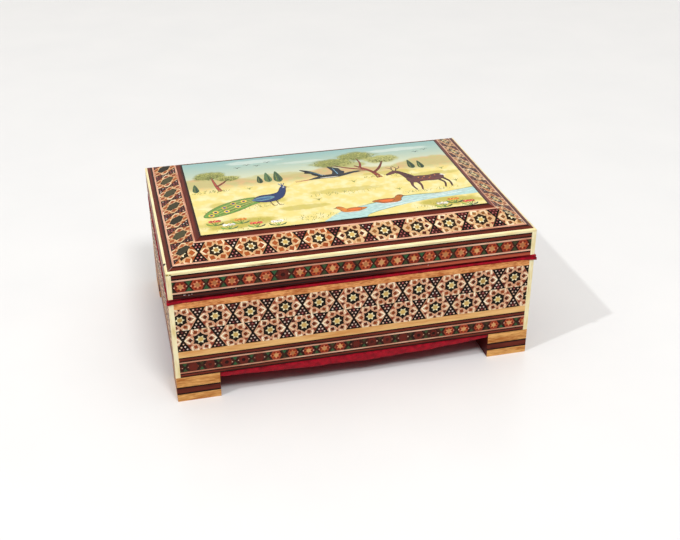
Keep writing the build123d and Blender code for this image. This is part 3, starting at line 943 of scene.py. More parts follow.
SKY_HIGH = srgb(148, 188, 186)
SKY_MIDDLE = srgb(186, 204, 186)
SKY_LOW = srgb(222, 224, 190)
HILL_TAN = srgb(214, 178, 128)
HILL_GREEN = srgb(196, 190, 128)
GROUND = srgb(240, 222, 138)
GROUND_PALE = srgb(247, 236, 180)
LEAF_OLIVE = srgb(142, 146, 76)
LEAF_PALE = srgb(180, 178, 106)
MEADOW = srgb(188, 176, 70)
CLOUD = srgb(240, 244, 236)
STROKE_SHADE = srgb(150, 130, 70)
BRUSH_STRETCH = 0.16
BRUSH_WIDTH = 0.7
WOBBLE_SIZE = 5.0
RIDGE_FOOT = 5.0
RIDGE_RISE = 22.0
RIDGE_LENGTH = 26.0
RIDGE_SEED = 40.0
RIDGE_EDGE = (-1.2, 1.4)
HILL_SPAN = (0.4, 0.65)
GROUND_SPAN = (0.4, 0.7)
GROUND_EDGE = (6.0, 14.0)
GROUND_UNEVENNESS = 6.0
SKY_UNEVENNESS = 9.0
SKY_STOPS = [(0.35, SKY_LOW), (0.62, SKY_MIDDLE), (0.95, SKY_HIGH)]
WASH_EDGE = (1.15, 1.6)
WASH_UNEVENNESS = 0.9
SHADE_SPAN = (0.3, 0.7)
SHADE_SHARE = 0.1
BRUSH_RELIEF = 0.012

# Soft washes: place across and up the panel, half width, half height, colour and strength
WASHES = [
    (-30.0, 33.0, 15.0, 2.4, CLOUD, 0.42),
    (42.0, 31.0, 18.0, 2.0, CLOUD, 0.42),
    (-6.0, 27.5, 12.0, 1.5, CLOUD, 0.3),
    (-40.0, -12.0, 22.0, 3.2, MEADOW, 0.55),
    (6.0, -9.0, 18.0, 2.6, MEADOW, 0.5),
    (48.0, -1.0, 15.0, 2.4, MEADOW, 0.55),
    (-46.0, -31.0, 17.0, 5.0, MEADOW, 0.85),
    (48.0, -32.0, 15.0, 4.6, MEADOW, 0.85),
    (-16.0, -22.0, 12.0, 2.6, MEADOW, 0.6),
    (30.0, 5.0, 14.0, 2.2, MEADOW, 0.5),
    (-58.0, 13.0, 10.0, 4.0, HILL_GREEN, 0.8),
    (-22.0, 14.0, 16.0, 3.6, HILL_GREEN, 0.7),
    (52.0, 13.0, 14.0, 3.4, HILL_GREEN, 0.7),
    (8.0, 22.0, 11.5, 5.4, LEAF_OLIVE, 0.95),
    (20.0, 27.5, 10.0, 5.2, LEAF_OLIVE, 0.95),
    (31.0, 21.5, 9.0, 4.6, LEAF_PALE, 0.9),
    (16.0, 18.0, 7.0, 3.4, LEAF_PALE, 0.8),
    (-52.0, 21.0, 8.0, 5.0, LEAF_OLIVE, 0.95),
    (-44.0, 16.5, 6.0, 3.4, LEAF_PALE, 0.85),
]


def painted(name):
    return Finish(name, roughness=0.4, coat=0.2, coat_roughness=0.16)


def painting_finish():
    """The washes of the painting, under the finer brush strokes."""
    finish = painted("painting_washes")
    u, v, _ = finish.split(finish.place)
    flat = finish.joined(u, v, 0.0)
    wobble = finish.noise(flat, WOBBLE_SIZE, detail=4.0)
    strokes = finish.noise(finish.joined(finish.times(u, BRUSH_STRETCH), v, 0.0), BRUSH_WIDTH, detail=3.0)
    sky_share = finish.math("DIVIDE", finish.add(v, finish.swing(strokes, SKY_UNEVENNESS)), PANEL_HALF_DEPTH)
    sky = finish.ramp(sky_share, SKY_STOPS)
    ridge_noise = finish.noise(finish.joined(u, RIDGE_SEED, 0.0), RIDGE_LENGTH, detail=3.0)
    ridge = finish.add(finish.times(ridge_noise, RIDGE_RISE), RIDGE_FOOT)
    hills = finish.mix(finish.steps(wobble, *HILL_SPAN), HILL_TAN, HILL_GREEN)
    picture = finish.mix(finish.steps(finish.math("SUBTRACT", ridge, v), *RIDGE_EDGE), sky, hills)
    ground = finish.mix(finish.steps(wobble, *GROUND_SPAN), GROUND, GROUND_PALE)
    near = finish.add(v, finish.times(wobble, GROUND_UNEVENNESS))
    picture = finish.mix(finish.falls(near, *GROUND_EDGE), picture, ground)
    for across, up, half_width, half_height, colour, strength in WASHES:
        away = finish.vector("SUBTRACT", flat, (across, up, 0.0))
        scaled = finish.vector("MULTIPLY", away, (1 / half_width, 1 / half_height, 0.0))
        distance = finish.add(finish.vector("LENGTH", scaled), finish.times(wobble, WASH_UNEVENNESS))
        picture = finish.mix(finish.falls(distance, *WASH_EDGE, strength), picture, colour)
    finish.colour(finish.mix(finish.falls(strokes, *SHADE_SPAN, SHADE_SHARE), picture, STROKE_SHADE))
    finish.bump(strokes, BRUSH_RELIEF)
    return finish


PIGMENTS = {
    "navy": (38, 66, 128),
    "sky_blue": (120, 172, 200),
    "near_black": (26, 34, 40),
    "umber": (86, 48, 48),
    "russet": (150, 62, 46),
    "orange": (228, 132, 50),
    "deep_orange": (196, 92, 34),
    "green": (92, 134, 56),
    "cypress_green": (66, 96, 60),
    "deep_leaf": (96, 104, 52),
    "leaf_green": (132, 138, 66),
    "pale_leaf": (184, 182, 104),
    "grass_yellow": (206, 186, 84),
    "water": (160, 192, 188),
    "white": (246, 244, 232),
    "rose": (206, 62, 66),
    "outline": (64, 40, 34),
    "gold_paint": (214, 176, 72),
}
PAINT_STRETCH = (0.4, 1.0, 1.0)
PAINT_GRAIN = 0.8
PAINT_SPAN = (0.3, 0.72)
THIN_PAINT = 1.12
THIN_PAINT_LIFT = 10
POOLED_PAINT = 0.78
PAINT_STEP = 0.003
OUTLINE_WIDTH = 0.2
CURVE_STEPS = 5


def pigment_finish(name, colour):
    """One paint, laid on with the brush so that it pools darker in places."""
    finish = painted("paint_" + name)
    strokes = finish.noise(finish.vector("MULTIPLY", finish.place, PAINT_STRETCH), PAINT_GRAIN, detail=3.0)
    level = finish.mean(finish.attribute("tone"), strokes)
    light = srgb(*(min(255, channel * THIN_PAINT + THIN_PAINT_LIFT) for channel in colour))
    deep = srgb(*(channel * POOLED_PAINT for channel in colour))
    finish.tint(level, *PAINT_SPAN, deep, light)
    return finish


def curve_through(points, closed):
    """A smooth curve through points, as short straight steps."""
    count = len(points)
    spans = count if closed else count - 1
    curve = []
    for index in range(spans):
        if closed:
            around = [points[(index + offset) % count] for offset in (-1, 0, 1, 2)]
        else:
            around = [points[min(max(index + offset, 0), count - 1)] for offset in (-1, 0, 1, 2)]
        before, start, end, after = (Vector(point) for point in around)
        for step in range(CURVE_STEPS):
            t = step / CURVE_STEPS
            bend = (2 * before - 5 * start + 4 * end - after) * t * t
            twist = (3 * start - before - 3 * end + after) * t * t * t
            spot = (2 * start + (end - before) * t + bend + twist) / 2
            curve.append(tuple(spot))
    if not closed:
        curve.append(tuple(points[-1]))
    return curve


def boxes_meet(one, other):
    """Whether two boxes, given as least and greatest u and v, overlap."""
    return one[0] < other[1] and other[0] < one[1] and one[2] < other[3] and other[2] < one[3]


class Painting:
    """Brush strokes and filled shapes on the lid's panel, each laid over those before it."""

    def __init__(self):
        self.side = Side(0, 0.0, BOX_TOP, math.pi / 2)
        self.laid = []
        self.batches = {}
        self.region = oblong(-PANEL_HALF_LENGTH, PANEL_HALF_LENGTH, -PANEL_HALF_DEPTH, PANEL_HALF_DEPTH)
        for name, colour in PIGMENTS.items():
            self.batches[name] = Batch("painting_" + name, "lid", "panel", pigment_finish(name, colour))

    def lay(self, paint, outline):
        """One flat touch of paint, a step above whatever it may cross."""
        outline = clipped(outline, self.region)
        if not outline or abs(signed_area(outline)) < LEAST_AREA:
            return
        us = [u for u, _ in outline]
        vs = [v for _, v in outline]
        box = (min(us), max(us), min(vs), max(vs))
        under = [high for other, high in self.laid if boxes_meet(box, other)]
        high = max(under, default=0.0) + PAINT_STEP
        self.laid.append((box, high))
        self.batches[paint].add(self.side, outline, high, rng.random())

    def stroke(self, paint, points, widths, at=(0.0, 0.0), size=1.0, flip=1.0):
        """A brush stroke along a curve, as wide at each point as widths says."""
        placed_points = [(at[0] + u * size * flip, at[1] + v * size) for u, v in points]
        line = curve_through(placed_points, closed=False)
        left = []
        right = []
        for index, spot in enumerate(line):
            ahead = line[min(index + 1, len(line) - 1)]
            behind = line[max(index - 1, 0)]
            way = Vector((ahead[0] - behind[0], ahead[1] - behind[1])).normalized()
            share = index / (len(line) - 1) * (len(widths) - 1)
            lower = min(int(share), len(widths) - 2) if len(widths) > 1 else 0
            upper = min(lower + 1, len(widths) - 1)
            width = widths[lower] + (widths[upper] - widths[lower]) * (share - lower)
            half = width * size / 2
            left.append((spot[0] - way.y * half, spot[1] + way.x * half))
            right.append((spot[0] + way.y * half, spot[1] - way.x * half))
        self.lay(paint, left + right[::-1])

    def shape(self, paint, points, at=(0.0, 0.0), size=1.0, flip=1.0, outlined=True):
        """A filled shape, edged with a fine dark line."""
        placed_points = [(at[0] + u * size * flip, at[1] + v * size) for u, v in points]
        loop = curve_through(placed_points, closed=True)
        if signed_area(loop) < 0:
            loop = loop[::-1]
        if outlined:
            self.lay("outline", grown(loop, OUTLINE_WIDTH))
        self.lay(paint, loop)

    def make(self):
        make_all(self.batches)


class Motif:
    """One motif of the painting, drawn about a point of its own."""

    def __init__(self, painting, at, size=1.0, flip=1.0):
        self.painting = painting
        self.at = at
        self.size = size
        self.flip = flip

    def stroke(self, paint, points, widths):
        self.painting.stroke(paint, points, widths, self.at, self.size, self.flip)

    def shape(self, paint, points, outlined=True):
        self.painting.shape(paint, points, self.at, self.size, self.flip, outlined)

    def lay(self, touches):
        """Touches of paint in order: a stroke where widths are given, and otherwise a filled shape."""
        for paint, points, *widths in touches:
            if widths:
                self.stroke(paint, points, *widths)
            else:
                self.shape(paint, points)

    def dot(self, paint, radius, sides, u, v):
        spot = (self.at[0] + u * self.size * self.flip, self.at[1] + v * self.size)
        self.painting.shape(paint, ring(radius, sides), spot, self.size, outlined=False)


def grown(loop, by):
    """A loop moved outwards all round."""
    count = len(loop)
    result = []
    for index, spot in enumerate(loop):
        ahead = loop[(index + 1) % count]
        behind = loop[index - 1]
        way = Vector((ahead[0] - behind[0], ahead[1] - behind[1])).normalized()
        result.append((spot[0] + way.y * by, spot[1] - way.x * by))
    return result


# Peacock; every motif is in millimetres about a point of its own
PEACOCK_BODY = [
    (-6.0, -1.0), (-3.0, 2.6), (2.0, 3.2), (5.2, 4.6), (6.9, 8.5), (8.2, 10.1),
    (9.7, 9.4), (9.1, 7.4), (8.4, 4.0), (6.5, -0.5), (3.0, -3.2), (-2.0, -3.6),
]
PEACOCK_TRAIN = [
    (-4.0, 1.6), (-11.0, 1.4), (-19.0, -2.0), (-25.0, -7.0), (-27.5, -12.0), (-22.0, -12.5),
    (-14.0, -9.5), (-7.0, -5.0), (-3.0, -2.6),
]
PEACOCK_WING = [(-6.5, -1.0), (-3.0, 1.3), (1.5, 1.6), (3.2, 0.2), (0.5, -1.8), (-3.5, -2.2)]
PEACOCK_EYES = [
    (-10.0, -0.8), (-14.5, -2.0), (-13.0, -5.2), (-18.5, -5.0), (-18.0, -8.6), (-22.5, -8.4), (-24.5, -11.0),
]
PEACOCK_FEET = (0.6, 3.2)
PEACOCK_BARBS = (-1.4, -0.7, 0.0, 0.7)
PEACOCK_CREST = (-1.2, 0.0, 1.2)
FEATHER_PAINTS = ("deep_leaf", "pale_leaf", "leaf_green")
TRAIN_FEATHERS = 11

# Points of the top feather of the train, and how far right and down the lowest one's lie from them
TOP_FEATHER = [(-4.5, 1.0, 0.0, 2.8), (-14.5, -0.6, 0.0, 7.4), (-25.6, -8.4, 4.0, 3.6)]
FEATHER_WIDTHS = [0.2, 0.35, 0.1]

# Stork
STORK_BODY = [
    (-12.5, -2.2), (-8.0, 0.2), (-4.0, 1.8), (2.0, 2.1), (7.0, 1.6), (12.0, 3.0), (16.4, 3.4),
    (17.2, 2.4), (12.4, 1.2), (8.0, -0.5), (3.0, -1.9), (-3.0, -2.0), (-8.0, -1.9),
]
STORK_NEAR_WING = [
    (-3.5, 0.8), (-6.5, 5.2), (-10.5, 9.4), (-15.0, 11.6), (-12.6, 8.6), (-13.0, 6.8), (-10.0, 5.6),
    (-9.0, 3.4), (-6.8, 1.6), (-1.5, -0.6), (3.6, 0.6),
]
STORK_FAR_WING = [
    (1.5, 1.2), (2.4, 6.2), (0.8, 12.4), (4.2, 10.4), (6.2, 9.2), (7.0, 6.0), (8.4, 4.2), (6.6, 1.2),
]
STORK = [
    ("near_black", STORK_FAR_WING),
    ("russet", [(-8.0, -1.6), (-20.0, -2.6)], [0.6, 0.3]),
    ("russet", [(-8.0, -1.6), (-20.0, -3.6)], [0.6, 0.3]),
    ("near_black", STORK_BODY),
    ("near_black", STORK_NEAR_WING),
    ("russet", [(16.6, 2.9), (22.0, 2.2)], [1.0, 0.1]),
    ("white", [(-6.0, -1.3), (4.0, -1.3)], [0.5, 1.2, 0.3]),
    ("sky_blue", [(-4.0, 1.5), (-10.5, 8.6)], [0.35, 0.15]),
    ("sky_blue", [(-2.6, 1.6), (-8.0, 6.0)], [0.35, 0.15]),
    ("sky_blue", [(4.4, 2.0), (3.2, 10.0)], [0.35, 0.15]),
]

# Deer
DEER_BODY = [
    (-8.8, -1.4), (-8.6, 3.0), (-4.0, 4.0), (2.0, 3.5), (7.0, 4.5), (9.2, 3.2), (9.0, -0.6),
    (5.0, -2.8), (-1.0, -2.4), (-6.0, -3.2),
]
DEER_NECK = [(-8.4, 1.6), (-10.4, 7.4), (-12.8, 11.0), (-11.0, 12.2), (-8.0, 8.8), (-4.6, 3.6)]
DEER_HEAD = [
    (-13.0, 12.4), (-15.0, 11.2), (-17.4, 9.0), (-17.0, 8.2), (-14.2, 9.0), (-12.0, 10.2), (-11.0, 12.0),
]
DEER_RUMP = [
    ("umber", [(-7.6, 5.6), (-6.0, 2.6)], [2.4, 2.2]),
    ("white", [(8.6, 3.4), (10.4, 1.6)], [1.2, 0.4]),
]
DEER_SPOTS = [(-3.0, 2.0), (0.0, 2.4), (3.0, 1.8), (5.6, 2.8), (-1.4, 0.6), (2.0, 0.2)]
DEER_FLANKS = (0.0, 0.8, 1.6)
DEER_LEGS = [
    [(-7.6, -2.0), (-8.4, -6.6), (-7.6, -11.6)],
    [(-4.8, -2.6), (-4.2, -7.0), (-5.0, -11.8)],
    [(5.6, -1.6), (7.8, -6.2), (6.6, -11.6)],
    [(8.2, -0.6), (10.4, -5.8), (10.0, -11.4)],
]
DEER_ANTLERS = [
    [(-11.8, 12.2), (-10.6, 15.4), (-12.0, 18.6)],
    [(-11.2, 14.0), (-9.0, 15.6), (-8.6, 17.8)],
    [(-12.6, 12.4), (-13.6, 15.4), (-15.6, 17.2)],
    [(-13.4, 14.8), (-12.6, 16.4), (-12.8, 17.6)],
]

# Ducks, flowers and far birds
DUCK_BODY = [
    (-7.4, 1.0), (-4.0, 2.1), (0.0, 2.3), (2.8, 1.9), (4.2, 3.8), (5.8, 4.9), (7.3, 4.2), (7.0, 2.8),
    (5.9, 1.4), (5.2, -0.8), (2.5, -2.0), (-2.0, -2.0), (-5.0, -0.8),
]
DUCK_WING = [(-4.8, 0.9), (-1.0, 1.5), (2.4, 0.6), (0.4, -1.0), (-2.8, -0.8)]
DUCK = [
    ("orange", DUCK_BODY),
    ("deep_orange", DUCK_WING),
    ("outline", [(7.1, 3.6), (8.8, 3.1)], [0.8, 0.2]),
]
DUCK_WAKE = [("white", [(-7.0, -2.3), (6.0, -2.4)], [0.2, 0.5, 0.2])]
FLOWER_LEAVES = [
    ("green", [(0.0, -4.0), (-2.8, -2.6), (-3.6, -1.0)], [0.3, 1.1, 0.1]),
    ("cypress_green", [(0.0, -4.0), (2.6, -3.0), (3.8, -1.6)], [0.3, 1.0, 0.1]),
]
FAR_BIRD = [
    ("near_black", [(-1.8, 0.7), (-0.8, 1.1), (0.0, 0.0)], [0.15, 0.4]),
    ("near_black", [(0.0, 0.0), (0.8, 1.1), (1.8, 0.7)], [0.4, 0.15]),
]

# River bank
WATER = [
    (66.0, -20.0), (48.0, -22.5), (31.0, -22.0), (14.0, -26.0), (0.0, -30.0), (-8.0, -36.0), (-12.0, -42.0),
    (6.0, -42.0), (10.0, -36.0), (22.0, -31.5), (38.0, -28.0), (52.0, -27.0), (66.0, -26.0),
]
BACK_LINE_WIDTH = 0.8
TRUNK_EDGE = 0.4
TRUNKS = [
    ([(25.0, 0.5), (23.8, 6.0), (21.0, 11.0), (16.5, 16.5)], [2.6, 1.7, 1.2, 0.5]),
    ([(23.6, 6.5), (27.5, 11.5), (31.0, 19.0)], [1.3, 0.9, 0.3]),
    ([(21.2, 10.6), (14.0, 14.0), (6.0, 19.0)], [1.1, 0.8, 0.3]),
    ([(18.8, 13.8), (20.0, 19.0), (19.5, 25.0)], [0.9, 0.6, 0.2]),
    ([(-49.0, 3.0), (-50.4, 9.5), (-51.5, 19.0)], [1.8, 1.1, 0.3]),
    ([(-50.2, 8.6), (-46.5, 12.5), (-44.0, 16.5)], [0.9, 0.6, 0.2]),
]
CYPRESSES = [
    (-26.0, 8.0, 11.0),
    (-21.4, 7.0, 12.5),
    (-30.0, 7.5, 8.5),
    (43.0, 7.0, 10.0),
    (47.4, 6.2, 9.0),
    (-60.0, 4.0, 9.0),
]
CYPRESS_SLIMNESS = 0.16

# Edge, shaded line and light line of a cypress, as shares of its half width and height
CYPRESS_PARTS = (
    [(0.0, 0.0), (1.0, 0.18), (0.8, 0.55), (0.0, 1.0), (-0.8, 0.55), (-1.0, 0.18)],
    [(0.3, 0.1), (0.25, 0.8)],
    [(-0.4, 0.15), (-0.2, 0.7)],
)
CYPRESS_WIDTHS = [0.5, 0.1]

# Middle, half width and half height of each leafy crown
CANOPIES = [
    (8.0, 22.0, 10.5, 4.6),
    (20.0, 27.5, 9.2, 4.4),
    (31.0, 21.5, 8.0, 3.8),
    (-52.0, 21.0, 7.2, 4.2),
    (-44.0, 16.5, 5.0, 2.8),
]
FLOWERS = [
    (-56.0, -27.0), (-50.5, -31.5), (-45.0, -27.5), (-39.0, -32.5),
    (44.0, -33.5), (50.0, -30.5), (56.0, -34.0), (-30.0, -33.0),
]
FLOWER_PAINTS = ("rose", "white", "orange")
FLOWER_HEADS = (-1.6, 0.2, 1.8)
TUFTS = [
    (-58.0, -19.0), (-26.0, -14.0), (-8.0, -17.0), (30.0, -15.0),
    (58.0, -12.0), (12.0, -2.0), (-36.0, 2.0), (56.0, 3.0),
]
TUFT_LEANS = (-1.4, -0.6, 0.3, 1.1)
BANK_RISE = 0.5
BANK_DIP = 0.3
BANK_TURN = -30.0
RIPPLE_DROPS = (0.0, 2.2, 4.4)
RIPPLE_LINE = [(60.0, -20.5, 0.6), (44.0, -23.0, 0.6), (28.0, -24.5, 1.0), (12.0, -29.0, 1.0)]
RIPPLE_WIDTHS = [0.1, 0.45, 0.2, 0.4, 0.1]
FLOCK = [(-38.0, 27.0), (-33.0, 29.5), (-28.5, 27.5), (-23.0, 30.5), (50.0, 25.5), (55.0, 27.5)]
LEAF_DABS = 230
LEAF_DAB = [(-0.42, 0.0), (0.0, -0.22), (0.42, 0.0), (0.0, 0.22)]
GRASS_PATCHES = [
    (-44.0, -33.0, 19.0, 5.0),
    (46.0, -34.5, 16.0, 3.5),
    (-40.0, -17.0, 18.0, 1.6),
    (44.0, -18.5, 14.0, 1.2),
    (4.0, -12.0, 16.0, 1.8),
    (30.0, 1.5, 13.0, 1.4),
    (-54.0, 3.0, 9.0, 1.4),
    (-12.0, -33.0, 9.0, 3.0),
]
GRASS_BLADES = 70
GRASS_LENGTH = 1.5
GRASS_SPREAD = (0.5, 1.1)
GRASS_LEANS = (-0.5, 0.7)
GRASS_WIDTHS = [0.28, 0.08]
GRASS_PAINTS = ("leaf_green", "pale_leaf", "grass_yellow")
LEAF_MIX = 0.7
PALE_LEAF_START = 0.35
DEEP_LEAF_END = -0.45
LEAF_TURNS = (-30.0, 60.0)
LEAF_SIZES = (0.7, 1.3)


# Place, size and way of the stork, the peacock, the deer and two ducks
CREATURES = [
    ((3.0, 7.5), 0.86),
    ((-30.0, -9.0), 1.08),
    ((45.0, -6.0), 0.95),
    ((22.0, -25.0), 1.0),
    ((4.0, -30.0), 0.9, -1.0),
]


def paint_leaves(painting):
    """Small dabs of three greens over each crown, paler above."""
    for across, up, half_width, half_height in CANOPIES:
        for _ in range(LEAF_DABS):
            distance = math.sqrt(rng.random())
            u, v = polar(distance, rng.uniform(0, 360))
            lit = v + rng.uniform(-LEAF_MIX, LEAF_MIX)
            paint = "deep_leaf"
            if lit > PALE_LEAF_START:
                paint = "pale_leaf"
            elif lit > DEEP_LEAF_END:
                paint = "leaf_green"
            centre = (across + u * half_width, up + v * half_height)
            painting.lay(paint, moved(LEAF_DAB, centre, rng.uniform(*LEAF_TURNS), rng.uniform(*LEAF_SIZES)))


def paint_grass(painting):
    """Fine upright strokes over the green patches of the ground."""
    for across, up, half_width, half_height in GRASS_PATCHES:
        for _ in range(GRASS_BLADES):
            u, v = polar(math.sqrt(rng.random()), rng.uniform(0, 360))
            foot = (across + u * half_width, up + v * half_height)
            lean = rng.uniform(*GRASS_LEANS)
            paint = rng.choice(GRASS_PAINTS)
            length = GRASS_LENGTH * rng.uniform(*GRASS_SPREAD)
            painting.stroke(paint, [(0.0, 0.0), (lean, length)], GRASS_WIDTHS, foot)


def paint_cypress(painting, foot, height):
    tree = Motif(painting, foot)
    half = height * CYPRESS_SLIMNESS
    edge, shade, light = ([(u * half, v * height) for u, v in part] for part in CYPRESS_PARTS)
    tree.shape("cypress_green", edge, outlined=False)
    tree.stroke("near_black", shade, CYPRESS_WIDTHS)
    tree.stroke("leaf_green", light, CYPRESS_WIDTHS)


def paint_peacock(bird):
    bird.shape("green", PEACOCK_TRAIN)
    for index in range(TRAIN_FEATHERS):
        share = index / (TRAIN_FEATHERS - 1)
        feather = [(u + right * share, v - drop * share) for u, v, right, drop in TOP_FEATHER]
        bird.stroke(FEATHER_PAINTS[index % 3], feather, FEATHER_WIDTHS)
    for u, v in PEACOCK_EYES:
        bird.dot("gold_paint", 1.25, 8, u, v)
        bird.dot("navy", 0.65, 6, u, v)
    for foot in PEACOCK_FEET:
        bird.stroke("outline", [(foot, -3.0), (foot + 0.8, -7.4), (foot + 2.4, -7.6)], [0.5, 0.3])
    bird.shape("navy", PEACOCK_BODY)
    bird.shape("sky_blue", PEACOCK_WING)
    for shift in PEACOCK_BARBS:
        barb = [(-5.6 + shift * 0.4, -0.7 + shift * 0.5), (1.6, 0.2 + shift * 0.6)]
        bird.stroke("navy", barb, [0.12, 0.28, 0.1])
    bird.stroke("gold_paint", [(9.4, 9.0), (11.2, 8.4)], [0.8, 0.1])
    bird.dot("white", 0.42, 6, 8.5, 9.0)
    for lean in PEACOCK_CREST:
        bird.stroke("navy", [(8.2, 10.0), (8.2 + lean, 12.8)], [0.25, 0.45])


def paint_deer(deer):
    for leg in DEER_LEGS:
        deer.stroke("outline", leg, [2.0, 1.1, 0.8])
        deer.stroke("umber", leg, [1.6, 0.8, 0.5])
    for part in (DEER_NECK, DEER_BODY, DEER_HEAD):
        deer.shape("umber", part)
    deer.lay(DEER_RUMP)
    for rise in DEER_FLANKS:
        deer.stroke("russet", [(-6.0, -2.2 + rise), (0.0, -1.6 + rise), (5.6, -2.0 + rise)], [0.1, 0.28, 0.1])
    for antler in DEER_ANTLERS:
        deer.stroke("outline", antler, [0.6, 0.2])
    for u, v in DEER_SPOTS:
        deer.dot("orange", 0.35, 6, u, v)


def paint_duck(duck):
    duck.lay(DUCK)
    duck.dot("outline", 0.25, 6, 6.0, 3.9)
    duck.lay(DUCK_WAKE)


def paint_flower(plant, paint):
    for lean in FLOWER_HEADS:
        plant.stroke("green", [(0.0, -4.0), (lean * 0.6, -1.6), (lean, 0.0)], [0.5, 0.2])
    plant.lay(FLOWER_LEAVES)
    for lean in FLOWER_HEADS:
        for u, v in ring(0.62, 5, rng.uniform(0, 72)):
            plant.dot(paint, 0.5, 6, lean + u, 0.3 + v)
        plant.dot("gold_paint", 0.32, 6, lean, 0.3)


def paint_tuft(tuft):
    for lean in TUFT_LEANS:
        tuft.stroke("leaf_green", [(0.0, 0.0), (lean * 0.5, 1.3), (lean * 1.6, 2.4)], [0.4, 0.1])


def paint_water(painting):
    """The stream, with a green bank and pale ripples."""
    bank = [(u, v + BANK_RISE if v > BANK_TURN else v - BANK_DIP) for u, v in WATER]
    painting.shape("leaf_green", bank, outlined=False)
    painting.shape("water", WATER, outlined=False)
    for drop in RIPPLE_DROPS:
        line = [(u, v - drop * share) for u, v, share in RIPPLE_LINE]
        painting.stroke("white", line, RIPPLE_WIDTHS)


def make_painting():
    painting = Painting()
    for foot_u, foot_v, height in CYPRESSES:
        paint_cypress(painting, (foot_u, foot_v), height)
    for points, widths in TRUNKS:
        painting.stroke("outline", points, [width + TRUNK_EDGE for width in widths])
        painting.stroke("russet", points, widths)
    paint_leaves(painting)
    paint_water(painting)
    paint_grass(painting)
    for at in TUFTS:
        paint_tuft(Motif(painting, at))
    for index, at in enumerate(FLOWERS):
        paint_flower(Motif(painting, at), FLOWER_PAINTS[index % 3])
    for at in FLOCK:
        Motif(painting, at).lay(FAR_BIRD)
    stork, peacock, deer, *ducks = (Motif(painting, *setting) for setting in CREATURES)
    stork.lay(STORK)
    paint_peacock(peacock)
    paint_deer(deer)
    for duck in ducks:
        paint_duck(duck)
    back = PANEL_HALF_DEPTH
    line = oblong(-PANEL_HALF_LENGTH, PANEL_HALF_LENGTH, back - BACK_LINE_WIDTH, back)
    painting.lay("outline", line)
    painting.make()


# Felt

FELT_GRID = 0.8
INNER_FOLD = 0.9


def cloth_mesh(name, rows, thickness, keep=None):
    """A closed sheet through a grid of middle points; keep says which cells of the grid are cloth."""
    row_count = len(rows)
    column_count = len(rows[0])
    tops = []
    bottoms = []
    for i, row in enumerate(rows):
        for j, spot in enumerate(row):
            along_row = Vector(row[min(j + 1, column_count - 1)]) - Vector(row[max(j - 1, 0)])
            across = Vector(rows[min(i + 1, row_count - 1)][j]) - Vector(rows[max(i - 1, 0)][j])
            out = along_row.cross(across).normalized() * (thickness / 2)
            tops.append((Vector(spot) + out) * MM)
            bottoms.append((Vector(spot) - out) * MM)
    under = len(tops)
    faces = []
    edges = {}
    for i in range(row_count - 1):
        for j in range(column_count - 1):
            if keep and not keep(i, j):
                continue
            near = i * column_count + j
            far = near + column_count
            corners = [near, near + 1, far + 1, far]
            faces.append(corners)
            faces.append([corner + under for corner in reversed(corners)])
            for first, second in zip(corners, corners[1:] + corners[:1]):
                if (second, first) in edges:
                    del edges[(second, first)]
                else:
                    edges[(first, second)] = True
    for first, second in edges:
        faces.append([second, first, first + under, second + under])
    spots = tops + bottoms
    used = sorted({corner for face in faces for corner in face})
    place_of = {corner: place for place, corner in enumerate(used)}
    mesh = bpy.data.meshes.new(name)
    mesh.from_pydata([spots[corner] for corner in used], [], [[place_of[c] for c in face] for face in faces])
    for polygon in mesh.polygons:
        polygon.use_smooth = True
    return mesh


# Waves in the felt: length, seed and height
RIPPLES = {
    "rim_edge": (9.0, 3.1, 0.25),
    "rim_fray": (1.3, 5.2, 0.1),
    "rim_lift": (5.0, 9.3, 0.04),
    "wall_swell": (16.0, 2.2, 0.12),
    "hem_wave": (9.0, 7.7, 0.35),
    "hem_fray": (2.2, 1.9, 0.16),
    "hem_lean": (12.0, 6.0, 0.35),
}
RIPPLE_SKEW = 0.37


def ripple(kind, place):
    """Height of one kind of wave at a place along the felt."""
    length, seed, height = RIPPLES[kind]
    return noise.noise(Vector((place / length, seed, seed * RIPPLE_SKEW))) * height


def run_stations(reach, step):
    """Evenly spaced places from -reach to reach."""
    count = max(2, int(round(2 * reach / step)))
    return [-reach + 2 * reach * index / count for index in range(count + 1)]


RIM_STEPS = 8
FOLD_STEPS = 5
DROP_STEPS = 8
SWELL_SHIFT = 3.0
FELT_SHARE = 0.97
RIM_PROUD = {
    "case": {"front": (0.8, -0.3, 0.9), "right": (0.9, 0.05, 0.0), "left": (0.0, 0.3, 0.8)},
    "lid": {"front": (0.1, -1.4, 0.6), "right": (0.6, -0.4, -0.4), "left": (-0.4, -0.4, 0.1)},
}
RIM_CORNER_REACH = 9.0
RIM_MOST_PROUD = 0.95
HINGE_GAP = 0.4


def rim_start(body, side, run, half_run):
    """How far in the felt starts: its front corners stick out, and at the back it is clear of the hinges."""
    if side != "back":
        low_end, middle, high_end = RIM_PROUD[body][side]
        to_low = max(0.0, 1 - (half_run + run) / RIM_CORNER_REACH) ** 2
        to_high = max(0.0, 1 - (half_run - run) / RIM_CORNER_REACH) ** 2
        proud = middle + (low_end - middle) * to_low + (high_end - middle) * to_high
        calm = 1 - max(to_low, to_high)
        return -proud + (ripple("rim_edge", run) + ripple("rim_fray", run)) * calm
    start = HALF_DEPTH - RIM_FELT_BACK
    for shift in (0.0, HINGE_SPACING):
        if LEAF_LEFT + shift - HINGE_GAP < -run < LEAF_RIGHT + shift + HINGE_GAP:
            start = HALF_DEPTH - LEAF_FRONT + HINGE_GAP
    return start


